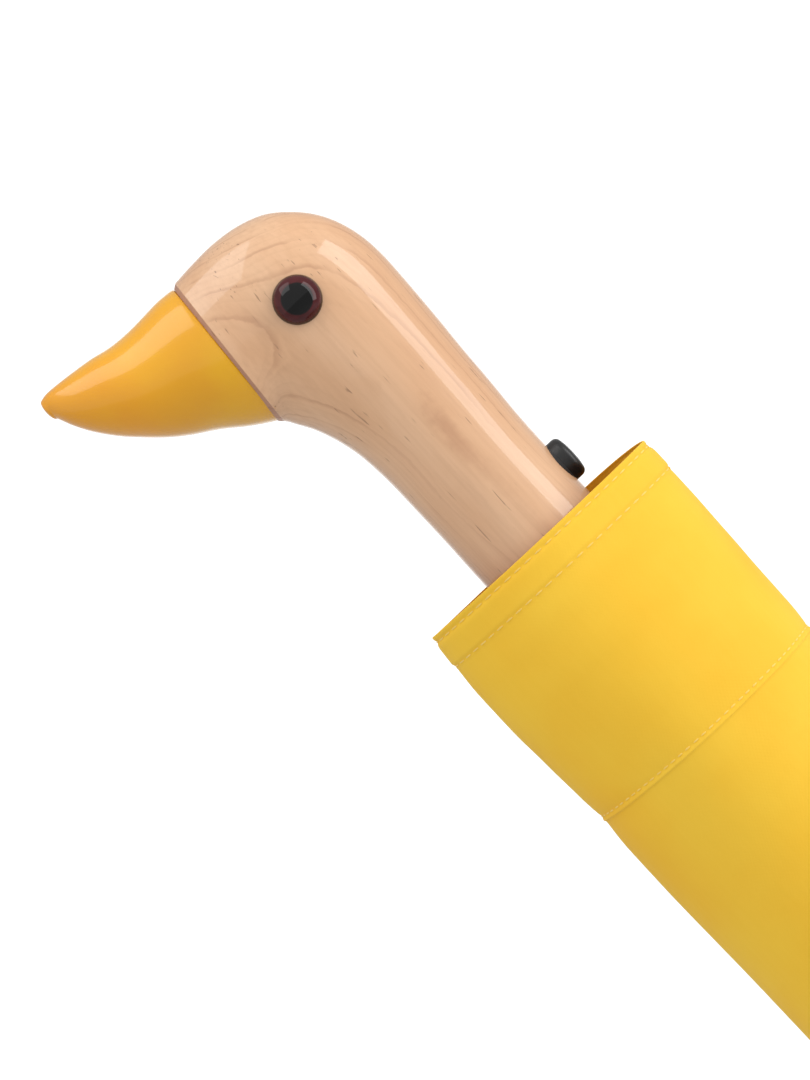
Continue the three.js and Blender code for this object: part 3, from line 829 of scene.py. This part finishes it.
def sleeve_sizes(below):
    """The two reaches and the half depth at a distance below the mouth."""
    for (d0, *a), (d1, *b) in zip(SLEEVE_SHAPE_MM, SLEEVE_SHAPE_MM[1:]):
        if below <= d1:
            f = max(0.0, (below - d0) / (d1 - d0))
            f = f * f * (3 - 2 * f) * 0.5 + f * 0.5
            return [p + (q - p) * f for p, q in zip(a, b)]
    return SLEEVE_SHAPE_MM[-1][1:]


def sleeve_point(below, turn, proud=0.0):
    """A point of the sleeve's outside: below the mouth by so many millimetres, at an angle round it."""
    front, back, depth = sleeve_sizes(below)
    c, s = math.cos(turn), math.sin(turn)
    reach = back if c > 0 else front
    side = math.copysign(abs(s) ** SLEEVE_ROUND, s)
    fold = 0.5 * math.sin(3 * turn + below * 0.035) * math.sin(turn * 2 - below * 0.021)
    fold += 0.22 * math.sin(7 * turn + 1.3) * math.exp(-((below - CUFF_DEPTH_MM) / 16) ** 2)
    fold *= min(1.0, below / 12) * (0.25 + 0.75 * abs(s))
    out = 1 + (proud + fold) / 30
    # The far side of the mouth stands a little higher at the button's edge and lower at the other.
    tilt = 1.6 * max(0.0, c) ** 0.5 - 0.5 * max(0.0, -c) ** 0.5
    rise = max(0.0, s) * tilt * math.exp(-((below / 14) ** 2))
    return Vector((reach * c * out * MM, depth * side * out * MM, MOUTH_Z - (below - rise) * MM))


def sewn_relief(below):
    """How far the cloth stands out or draws in along the hem and the cross seam, in millimetres."""
    relief = 0.3 if below < HEM_EDGE_MM else 0.0
    relief -= sum(0.42 * dent(below, row, 0.55) for row in HEM_ROWS_MM)
    if below < CUFF_DEPTH_MM:
        relief += 0.30 * dent(below, CUFF_DEPTH_MM, 2.4)
    relief -= 0.42 * dent(below, SEAM_ROW_MM, 0.6)
    return relief


def steps_between(low, high, wide, fine_at):
    """Distances from low to high in wide steps, with close ones near the stitched rows."""
    stops = set()
    at = low
    while at < high:
        stops.add(round(at, 3))
        close = any(abs(at - row) < 2.2 for row in fine_at)
        at += 0.35 if close else wide
    stops.add(high)
    return sorted(stops)


def sleeve_ring(below):
    """The sleeve's outline at a distance below its mouth, as a function of the angle round it."""
    proud = sewn_relief(below)
    return lambda turn: sleeve_point(below, turn, proud)


def sleeve_skin(name, stops, close_end):
    """The sleeve's cloth between the first and the last stop, and inside it a darker copy of the cloth as
    painted shade.
    """
    bm = loft([sleeve_ring(below) for below in stops], SLEEVE_SIDES, cap_start=False, cap_end=close_end)
    row = bm.verts.layers.float["row"]

    def spot(vert, angle):
        return angle / TURN * SLEEVE_PERIMETER, stops[int(round(vert[row]))] * MM

    cloth_uv(bm, spot)
    made = piece(name, bm, [SLEEVE_CLOTH, SLEEVE_INSIDE_SHADED])
    # The inner shell takes the darker copy, painted shade inside the sleeve.
    thicken(made, SLEEVE_WALL).modifiers["wall"].material_offset = 1
    subdivide(made)
    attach(made, "sleeve")
    return made


def squash_sleeve(obj):
    """Gives a sleeve piece a mesh of its own."""
    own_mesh(obj)


def stitches(name, runs, thickness, body):
    """Short stitches, each given as its (place, direction, outward way, length)."""
    bm = bmesh.new()
    for place, along, out, length in runs:
        side = along.cross(out).normalized()
        turn = Matrix((along.normalized(), side, out.normalized())).transposed().to_4x4()
        size = Matrix.Diagonal((length / 2, thickness / 2, thickness / 2, 1))
        bmesh.ops.create_icosphere(
            bm, subdivisions=1, radius=1.0, matrix=Matrix.Translation(place) @ turn @ size
        )
    made = piece(name, bm, THREAD)
    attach(made, body)
    return made


STITCH_LIFT = 0.0001


def sleeve_stitch_run(below, pitch, length):
    """Stitches round the sleeve along one row."""
    run = []
    samples = 720
    points = [sleeve_point(below, TURN * k / samples, sewn_relief(below)) for k in range(samples)]
    travelled, due = 0.0, 0.0
    for k in range(samples):
        here, after = points[k], points[(k + 1) % samples]
        step = after - here
        travelled += step.length
        if travelled >= due:
            out = step.cross(Vector((0, 0, 1))).normalized()
            run.append((here + out * STITCH_LIFT, step, out, length))
            due += pitch
    return run


def sleeve():
    """The cuff with its doubled hem, the long body tucked under it, and the stitches."""
    fine = [*HEM_ROWS_MM, HEM_EDGE_MM, SEAM_ROW_MM, CUFF_DEPTH_MM]
    cuff = sleeve_skin("sleeve_cuff_cloth", steps_between(0.0, CUFF_DEPTH_MM, 2.6, fine), False)
    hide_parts("sleeve_cuff")
    squash_sleeve(cuff)
    start = CUFF_DEPTH_MM - 0.9
    end = (MOUTH_Z - SLEEVE_END_Z) / MM
    body = sleeve_skin("sleeve_body_cloth", steps_between(start, end, 4.0, [CUFF_DEPTH_MM, end]), True)
    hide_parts("sleeve_body")
    squash_sleeve(body)
    runs = []
    for row in HEM_ROWS_MM:
        runs += sleeve_stitch_run(row, pitch=0.0031, length=0.0024)
    runs += sleeve_stitch_run(SEAM_ROW_MM, pitch=0.0023, length=0.0017)
    squash_sleeve(stitches("sleeve_stitches", runs, 0.00036, "sleeve"))


# ---- The shaft, the hubs and the ribs ----
TUBE_WALL = 0.0005
TUBE_ROLL = 0.0012
ROLL_STEPS = 5


def turned_to_rib(bm, rib):
    """Turns a mesh made at the first rib round the shaft to the given one."""
    turn = Matrix.Rotation(rib * RIB_STEP, 3, "Z")
    bmesh.ops.rotate(bm, cent=(0, 0, 0), matrix=turn, verts=bm.verts[:])
    return turn


def from_cad(node, material, body, bevel):
    """A finished copy of a frame node: merged, its flat facets joined, its edges eased."""
    bm = bmesh.new()
    bm.from_mesh(frame["nodes"][node].data)
    bmesh.ops.remove_doubles(bm, verts=bm.verts[:], dist=2e-6)
    bmesh.ops.dissolve_limit(bm, angle_limit=math.radians(0.6), verts=bm.verts[:], edges=bm.edges[:])
    made = piece(node + "_made", bm, material, recalc=False)
    modifier = made.modifiers.new("eased", "BEVEL")
    modifier.width, modifier.segments, modifier.limit_method = bevel, 2, "ANGLE"
    modifier.angle_limit = math.radians(35)
    modifier.use_clamp_overlap = True
    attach(made, body)
    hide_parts(node)


def shaft_tube(node, body, lip):
    """A drawn tube with its lower end rolled in, so that the next one can't fall out."""
    low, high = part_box(node)
    outer = (high.x - low.x) / 2
    inner = outer - TUBE_WALL
    profile = [(inner, low.z), (outer - lip, low.z)]
    for k in range(1, ROLL_STEPS + 1):
        profile.append((outer - lip * (1 - k / ROLL_STEPS), low.z + TUBE_ROLL * k / ROLL_STEPS))
    profile += [(outer, low.z + 0.03), (outer, high.z - 0.0003), (outer - 0.0002, high.z)]
    profile += [(inner, high.z), (inner, low.z)]
    made = piece(node + "_drawn", spun(profile), PLATED)
    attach(made, body)
    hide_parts(node)


def wire_ring(centre, out, along, wire):
    """The wire's round section at one place of a coil."""
    return lambda turn: centre + (out * math.cos(turn) + along * math.sin(turn)) * wire / 2


def wire_coil(name, start, axis, radius, wire, turns, pitch, per_turn, body):
    """A coil spring wound along an axis from start."""
    along = Vector(axis)
    side = Vector((0, 1, 0))
    other = along.cross(side)
    rings = []
    for k in range(int(turns * per_turn) + 1):
        angle = TURN * k / per_turn
        out = side * math.cos(angle) + other * math.sin(angle)
        centre = Vector(start) + along * pitch * k / per_turn + out * radius
        rings.append(wire_ring(centre, out, along, wire))
    made = piece(name, loft(rings, 8), WIRE)
    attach(made, body)
    return made


MAIN_PITCH = 0.0032
MAIN_WIRE = 0.0008
BUTTON_COIL_R = 0.0041
BUTTON_COIL_TURNS = 2.5
BUTTON_WIRE = 0.0004


def main_spring():
    """The long spring inside the shaft."""
    low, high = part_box("main_spring")
    radius = (high.x - low.x) / 2 - MAIN_WIRE / 2
    turns = (high.z - low.z - MAIN_WIRE) / MAIN_PITCH
    start = (0, 0, low.z + MAIN_WIRE / 2)
    size = (radius, MAIN_WIRE, turns, MAIN_PITCH, 12)
    made = wire_coil("main_spring_coil", start, (0, 0, 1), *size, "shaft_inner")
    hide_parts("main_spring")


def button_spring():
    """The short spring under the button."""
    low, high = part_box("button_spring")
    pitch = (high.x - low.x - BUTTON_WIRE) / BUTTON_COIL_TURNS
    start = (low.x + BUTTON_WIRE / 2, 0, (low.z + high.z) / 2)
    size = (BUTTON_COIL_R, BUTTON_WIRE, BUTTON_COIL_TURNS, pitch, 20)
    made = wire_coil("button_spring_coil", start, (1, 0, 0), *size, "handle")
    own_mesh(made)
    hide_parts("button_spring")


CAP_FLAT = 0.005
CAP_STEPS = 16
CAP_BORE = 0.0032
CAP_GROOVE = 0.0004


def top_cap():
    """The rounded ferrule over the crown, with a small flat to stand on and a groove at its rim."""
    low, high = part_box("top_cap")
    outer, shoulder = (high.x - low.x) / 2, CROWN_LOW.z - 0.0003
    height = shoulder - 0.003 - low.z
    profile = [(0, low.z), (CAP_FLAT, low.z)]
    for k in range(1, CAP_STEPS + 1):
        a = math.pi / 2 * k / CAP_STEPS
        profile.append((CAP_FLAT + (outer - CAP_FLAT) * math.sin(a), low.z + height * (1 - math.cos(a))))
    groove = outer - CAP_GROOVE
    profile += [(outer, shoulder - 0.0024), (groove, shoulder - 0.0022), (groove, shoulder - 0.0016)]
    profile += [(outer, shoulder - 0.0014), (outer, shoulder - 0.0002), (outer - 0.0002, shoulder)]
    profile += [(CAP_BORE, shoulder), (CAP_BORE, high.z), (0, high.z)]
    made = piece("top_cap_turned", spun(profile, steps=64), BLACK_NYLON)
    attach(made, "shaft_inner")
    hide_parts("top_cap")


def pivot(name):
    """Where a joint of the frame turns."""
    return Vector(JOINTS[name]["pos_m"])


CROWN_PIVOT = pivot("frame_open")
KNEE_PIVOT = pivot("rib_middle_turn_1")
TIP_PIVOT = pivot("rib_outer_turn_1")
STRETCHER_PIVOT = pivot("stretcher_turn_1")
RUNNER_PIVOT = pivot("runner_turn")
PIVOT_R = CROWN_PIVOT.x


RIVET_SHANK = 0.0006
RIVET_HEAD = 0.0011
# The round of a rivet's head: share of its radius, and height over the plate.
RIVET_ROUND = [(0, 0.00042), (0.6, 0.00034), (1, 0.00008)]


def rivets(name, body, spots):
    """Round-headed rivets across a rib's own plane: spots hold (rib number, height, from, to)."""
    bm = bmesh.new()
    for rib, z, start, end in spots:
        profile = [(RIVET_HEAD * share, start - height) for share, height in RIVET_ROUND]
        profile += [(RIVET_SHANK, start), (RIVET_SHANK, end)]
        profile += [(RIVET_HEAD * share, end + height) for share, height in reversed(RIVET_ROUND)]
        one = spun(profile, "Y", (PIVOT_R, 0, z), 14)
        turned_to_rib(one, rib)
        mesh = bpy.data.meshes.new("rivet")
        one.to_mesh(mesh)
        one.free()
        bm.from_mesh(mesh)
        bpy.data.meshes.remove(mesh)
    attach(piece(name, bm, ROD_STEEL), body)


def ribs():
    """The steel channels, the links, the wire ends and what fastens them together."""
    for rib in range(RIBS):
        n = rib + 1
        for part in ("inner", "middle"):
            node = f"rib_{part}_{n}"
            from_cad(node, BLACK_STEEL, node, 0.00012)
        from_cad(f"stretcher_{n}", BLACK_STEEL, f"stretcher_{n}", 0.00012)
        from_cad(f"rib_outer_{n}", ROD_STEEL, f"rib_outer_{n}", 0.0001)
        knees = [(rib, KNEE_PIVOT.z, -0.0031, 0.0011), (rib, STRETCHER_PIVOT.z, -0.0011, 0.003)]
        rivets(f"rivets_inner_{n}", f"rib_inner_{n}", knees)
        rivets(f"rivets_middle_{n}", f"rib_middle_{n}", [(rib, TIP_PIVOT.z, -0.0053, -0.0012)])
        tip = piece(f"rib_tip_{n}", rib_tip(rib), BLACK_NYLON)
        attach(tip, f"rib_outer_{n}")
    at_crown = [(rib, CROWN_PIVOT.z, -0.0016, 0.0016) for rib in range(RIBS)]
    at_runner = [(rib, RUNNER_PIVOT.z, 0.0011, 0.0031) for rib in range(RIBS)]
    rivets("rivets_crown", "shaft_inner", at_crown)
    rivets("rivets_runner", "runner", at_runner)


def rib_tip(rib):
    """The moulded cap on a rib's end, which the canopy's hem is sewn to."""
    low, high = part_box("rib_outer_1")
    middle, end = (low.y + high.y) / 2, high.z
    profile = [(0.00095, end - 0.0075), (0.0014, end - 0.0073), (0.0013, end - 0.0035)]
    profile += arc((0, end - 0.0014), 0.0016, -40, 90, 6)
    profile[-1] = (0, profile[-1][1])
    bm = spun(profile, "Z", (PIVOT_R, middle, 0), 20)
    bmesh.ops.holes_fill(bm, edges=bm.edges[:], sides=0)
    turned_to_rib(bm, rib)
    return bm


def shaft():
    """The three tubes, the crown, the runner and the small parts on and in them."""
    shaft_tube("tube_outer", "handle", 0.0003)
    shaft_tube("tube_middle", "shaft_middle", 0.0003)
    shaft_tube("tube_inner", "shaft_inner", 0.0001)
    from_cad("crown", BLACK_NYLON, "shaft_inner", 0.0003)
    from_cad("runner", BLACK_NYLON, "runner", 0.0003)
    from_cad("neck_pin", ROD_STEEL, "handle", 0.0002)
    top_cap()
    main_spring()
    button_spring()


# ---- The furled canopy ----
FOLD_DEPTH = 0.0032
FURL_TWIST = math.radians(34)
FURL_TOP = GORE_HIGH.z
FURL_R = GORE_HIGH.y
FURL_LEVELS = 56
FURL_SIDES = 180
FURL_BOTTOM = CROWN_LOW.z + 0.0001
FURL_WALL = 0.0003
LEAF_EDGE = 0.93  # where round a gore its fold ends, as a share of the gore
HUB_GAP = 0.0022  # between the crown's rim and the cloth drawn in over it
TUCKS = (0.94, 0.82)  # how far the cloth turns in at the open end, as shares of its radius


def gather(obj):
    """Gives a furled piece a mesh of its own."""
    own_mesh(obj)


def furled_radius(z, turn):
    """The rolled bundle: each gore's fold lies over the next one, like the leaves of a bud."""
    share = (z - CROWN_Z) / (FURL_TOP - CROWN_Z)
    place = ((turn + FURL_TWIST * share) / RIB_STEP) % 1.0
    step = place**0.55 if place < LEAF_EDGE else (1 - place) / (1 - LEAF_EDGE)
    body = FURL_R - FOLD_DEPTH * (1 - step)
    strap = 0.0009 * math.exp(-(((z - (STRAP_LOW.z + STRAP_HIGH.z) / 2) / 0.011) ** 4))
    ripple = 0.00035 * math.sin(5 * turn + z * 95) + 0.0002 * math.sin(11 * turn - z * 160)
    taper = min(1.0, max(0.0, (z - CROWN_LOW.z) / 0.016))
    drawn_in = CROWN_HIGH.x + HUB_GAP
    hub = drawn_in + (body - drawn_in) * math.sin(taper * math.pi / 2)
    flare = 0.0008 * max(0.0, share - 0.9) / 0.1
    return hub + (ripple - strap) * taper + flare * math.sin(6 * turn + 1.0)


def furled_ring(level):
    """One ring of the furled cloth; the last one is the wavy hem at its open end."""
    z = FURL_BOTTOM + (FURL_TOP - FURL_BOTTOM) * level / FURL_LEVELS

    def place(turn):
        r = furled_radius(z, turn)
        lift = 0.0025 * math.sin(6 * turn + 0.6) ** 2 if level == FURL_LEVELS else 0.0
        return Vector((r * math.cos(turn), r * math.sin(turn), z + lift))

    return place


def tucked_ring(share):
    """The hem's ring again, drawn in towards the shaft."""
    hem = furled_ring(FURL_LEVELS)
    return lambda turn: hem(turn) * share + Vector((0, 0, (1 - share) * FURL_TOP))


def furled_canopy():
    """The whole canopy rolled round the folded frame."""
    rings = [furled_ring(level) for level in range(FURL_LEVELS + 1)]
    rings += [tucked_ring(share) for share in TUCKS]
    bm = loft(rings, FURL_SIDES, cap_start=False, cap_end=False)
    row = bm.verts.layers.float["row"]

    def spot(vert, angle):
        return angle * FURL_R, vert[row] / FURL_LEVELS * (FURL_TOP - FURL_BOTTOM)

    cloth_uv(bm, spot)
    made = piece("furled_canopy", bm, CANOPY_CLOTH)
    thicken(made, FURL_WALL)
    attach(made, "shaft_inner")
    names = [f"gore_{part}_{n + 1}" for part in ("inner", "middle", "outer") for n in range(RIBS)]
    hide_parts(*names)
    gather(made)


STRAP_OUTER = STRAP_HIGH.x
STRAP_INNER = STRAP_OUTER - 0.0008
STRAP_EASE = 0.00025
STRAP_LAP = math.radians(58)
STRAP_TURN = 1.9  # where the lap starts round the bundle, in radians
STRAP_ROWS = (STRAP_LOW.z + 0.002, STRAP_HIGH.z - 0.002)
STRAP_STITCHES = 56
SNAP_PROFILE = [
    (0, 0), (0.0042, 0), (0.0042, 0.0003), (0.0036, 0.0009), (0.0028, 0.0007), (0.0022, 0.0011), (0, 0.0013),
]


def strap_ring(r, z):
    """A line round the strap, which stands proud where its end laps over."""

    def place(turn):
        over = 0.0007 * (1 if 0 < turn < STRAP_LAP else 0) + 0.0001 * math.sin(9 * turn)
        pull = (r + over) * (1 + 0.004 * math.sin(2 * turn))
        return Vector((pull * math.cos(turn - STRAP_TURN), pull * math.sin(turn - STRAP_TURN), z))

    return place


def strap_band():
    """The band itself, with eased outer edges."""
    low, high = STRAP_LOW.z, STRAP_HIGH.z
    shoulder = STRAP_OUTER - STRAP_EASE
    corners = [(STRAP_INNER, low), (shoulder, low), (STRAP_OUTER, low + STRAP_EASE)]
    corners += [(STRAP_OUTER, high - STRAP_EASE), (shoulder, high), (STRAP_INNER, high), (STRAP_INNER, low)]
    bm = loft([strap_ring(r, z) for r, z in corners], 144, cap_start=False, cap_end=False)
    bmesh.ops.remove_doubles(bm, verts=bm.verts[:], dist=1e-6)
    row = bm.verts.layers.float["row"]
    cloth_uv(bm, lambda vert, angle: (angle * STRAP_OUTER, vert[row] * 0.006))
    band = piece("tie_strap_band", bm, CANOPY_CLOTH)
    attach(band, "shaft_inner")
    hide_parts("tie_strap")
    return band


def strap_stitches():
    """A row of stitches near each edge of the band."""
    runs = []
    for z in STRAP_ROWS:
        for k in range(STRAP_STITCHES):
            place = strap_ring(STRAP_OUTER, z)(TURN * k / STRAP_STITCHES)
            out = Vector((place.x, place.y, 0)).normalized()
            runs.append((place + out * STITCH_LIFT, Vector((0, 0, 1)).cross(out), out, 0.0017))
    return stitches("tie_strap_stitches", runs, 0.0003, "shaft_inner")


def strap_snap():
    """The snap's round metal cap, on the lapped end."""
    middle = strap_ring(STRAP_OUTER, (STRAP_LOW.z + STRAP_HIGH.z) / 2)(STRAP_LAP * 0.6)
    reach = math.hypot(middle.x, middle.y) - 0.0001
    turn = Matrix.Rotation(math.atan2(middle.y, middle.x), 3, "Z")
    bm = spun(SNAP_PROFILE, "X", steps=32)
    bmesh.ops.translate(bm, verts=bm.verts[:], vec=(reach, 0, middle.z))
    bmesh.ops.rotate(bm, cent=(0, 0, 0), matrix=turn, verts=bm.verts[:])
    snap = piece("tie_strap_snap", bm, ROD_STEEL)
    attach(snap, "shaft_inner")
    return snap


def tie_strap():
    """A band round the bundle with a lapped end, two rows of stitches and a snap."""
    for made in (strap_band(), strap_stitches(), strap_snap()):
        gather(made)


# ---- The open canopy ----
# Each gore has three panels, one for each part of its rib. A panel lies folded in a thin strip
# beside its rib. When the frame opens, its near edge follows that rib and its far edge is
# carried round the shaft to the next rib, so that the panels join into one dome.
OPEN_INNER = math.radians(JOINTS["frame_open"]["range_deg"][1])
OPEN_MIDDLE = OPEN_INNER + math.pi + math.radians(JOINTS["rib_middle_turn_1"]["range_deg"][0])
OPEN_OUTER = OPEN_MIDDLE - math.pi + math.radians(JOINTS["rib_outer_turn_1"]["range_deg"][1])
RIB_INNER = KNEE_PIVOT.z - CROWN_PIVOT.z
RIB_MIDDLE = KNEE_PIVOT.z - TIP_PIVOT.z
RIB_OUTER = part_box("rib_outer_1")[1].z - TIP_PIVOT.z
STRIP = 0.001  # width of a folded panel
PANEL_WALL = 0.00025
PANEL_START = -0.0042  # where the inner panels start, on the far side of the crown's pivots
HEM_END = RIB_OUTER - 0.003
HEM_HOLLOW = 0.035
CLOTH_LIFT = 0.0023
CROWN_LIFT = 0.0023  # how much more the cloth stands up over the crown
CLOTH_SAG = 0.0055
PANEL_GRID = (16, 30)
ROUNDED = 0.02  # how far from a rib's joint the cloth starts to bend over it
SECTIONS = {
    "inner": (CROWN_PIVOT.z, 1, OPEN_INNER, 0.0, RIB_INNER),
    "middle": (KNEE_PIVOT.z, -1, OPEN_MIDDLE, RIB_INNER, RIB_MIDDLE),
    "outer": (TIP_PIVOT.z, 1, OPEN_OUTER, RIB_INNER + RIB_MIDDLE, RIB_OUTER),
}


def open_reach(part, along):
    """How far from the shaft a point of an open rib lies."""
    reach = PIVOT_R
    for name, (_, _, angle, before, length) in SECTIONS.items():
        if name == part:
            return reach + along * math.sin(angle)
        reach += length * math.sin(angle)
    return reach


def cloth_lift(travel, w):
    """Height of the cloth over the rib's line: up over the crown, and sagging between the ribs."""
    over_crown = CROWN_LIFT * (1 - min(1.0, max(0.0, (travel - 0.003) / 0.014)))
    deep = min(1.0, travel / 0.2)
    deep = deep * deep * (3 - 2 * deep)
    rounding = 0.0
    bends = [(RIB_INNER, OPEN_INNER - OPEN_MIDDLE), (RIB_INNER + RIB_MIDDLE, OPEN_MIDDLE - OPEN_OUTER)]
    for bend_at, bend in bends:
        near = max(0.0, ROUNDED - abs(travel - bend_at))
        rounding += math.tan(bend / 2) * near * near / (2 * ROUNDED)
    return CLOTH_LIFT + over_crown - rounding - CLOTH_SAG * deep * 4 * w * (1 - w)


def hem_along(w):
    """Where the hem crosses the outer panel: a straight cut from tip to tip, a little hollow."""
    tip = open_reach("outer", HEM_END)
    half = RIB_STEP / 2
    hollow = 1 - HEM_HOLLOW * 4 * w * (1 - w)
    reach = tip * math.cos(half) / math.cos((2 * w - 1) * half) * hollow
    return HEM_END - (tip - reach) / math.sin(OPEN_OUTER)


def panel_span(part, w):
    """The panel's first and last distances along its rib; neighbours meet on the mitre between them."""
    _, _, angle, before, length = SECTIONS[part]
    if part == "inner":
        start = PANEL_START
    else:
        last = OPEN_INNER if part == "middle" else OPEN_MIDDLE
        start = -cloth_lift(before, w) * math.tan((last - angle) / 2)
    if part == "outer":
        return start, hem_along(w)
    after = OPEN_MIDDLE if part == "inner" else OPEN_OUTER
    return start, length + cloth_lift(before + length, w) * math.tan((angle - after) / 2)


def panel_mesh(part):
    """The first rib's panel, folded beside the rib, with its flat shape and its edges in UV maps."""
    base, sign, _, before, _ = SECTIONS[part]
    across, down = PANEL_GRID
    bm = bmesh.new()
    bmesh.ops.create_grid(bm, x_segments=across, y_segments=down, size=1.0)
    cloth = bm.loops.layers.uv.new("cloth")
    edges = bm.loops.layers.uv.new("edges")
    flat = {}
    for vert in bm.verts:
        w, v = (vert.co.x + 1) / 2, (vert.co.y + 1) / 2
        start, end = panel_span(part, w)
        along = start + (end - start) * v
        lift = cloth_lift(before + along, w)
        strip = 0.5 - math.sin(math.asin(1 - 2 * w) / 3)
        width = RIB_STEP * open_reach(part, along)
        hem = hem_along(w) - along if part == "outer" else 1.0
        flat[vert] = (w * width, before + along), (min(w, 1 - w) * width, hem)
        vert.co = Vector((PIVOT_R + sign * lift, (strip - 0.5) * STRIP, base + sign * along))
    for face in bm.faces:
        for loop in face.loops:
            loop[cloth].uv, loop[edges].uv = flat[loop.vert]
    return bm


def panel(part, rib):
    """One panel of the canopy, spread from its own rib to the next as the frame opens."""
    base = SECTIONS[part][0]
    bm = panel_mesh(part)
    turn = turned_to_rib(bm, rib)
    n = rib + 1
    made = piece(f"canopy_{part}_{n}", bm, SEWN_CLOTH, recalc=False)
    thicken(made, PANEL_WALL, 0.0).modifiers["wall"].use_even_offset = False
    start = turn @ Vector((PIVOT_R, -STRIP / 2, base))
    end = turn @ Vector((PIVOT_R, STRIP / 2, base))
    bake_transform(made, f"rib_{part}_{n}", f"gore_{part}_{n}", start=start, end=end)


def open_canopy():
    """Three panels in each gore."""
    for rib in range(RIBS):
        for part in SECTIONS:
            panel(part, rib)


if __name__ == "__main__":
    add_camera()
    add_studio()
    handle_wood()
    bill()
    eyes()
    release_button()
    ferrule()
    sleeve()
    shaft()
    ribs()
    furled_canopy()
    tie_strap()
    open_canopy()
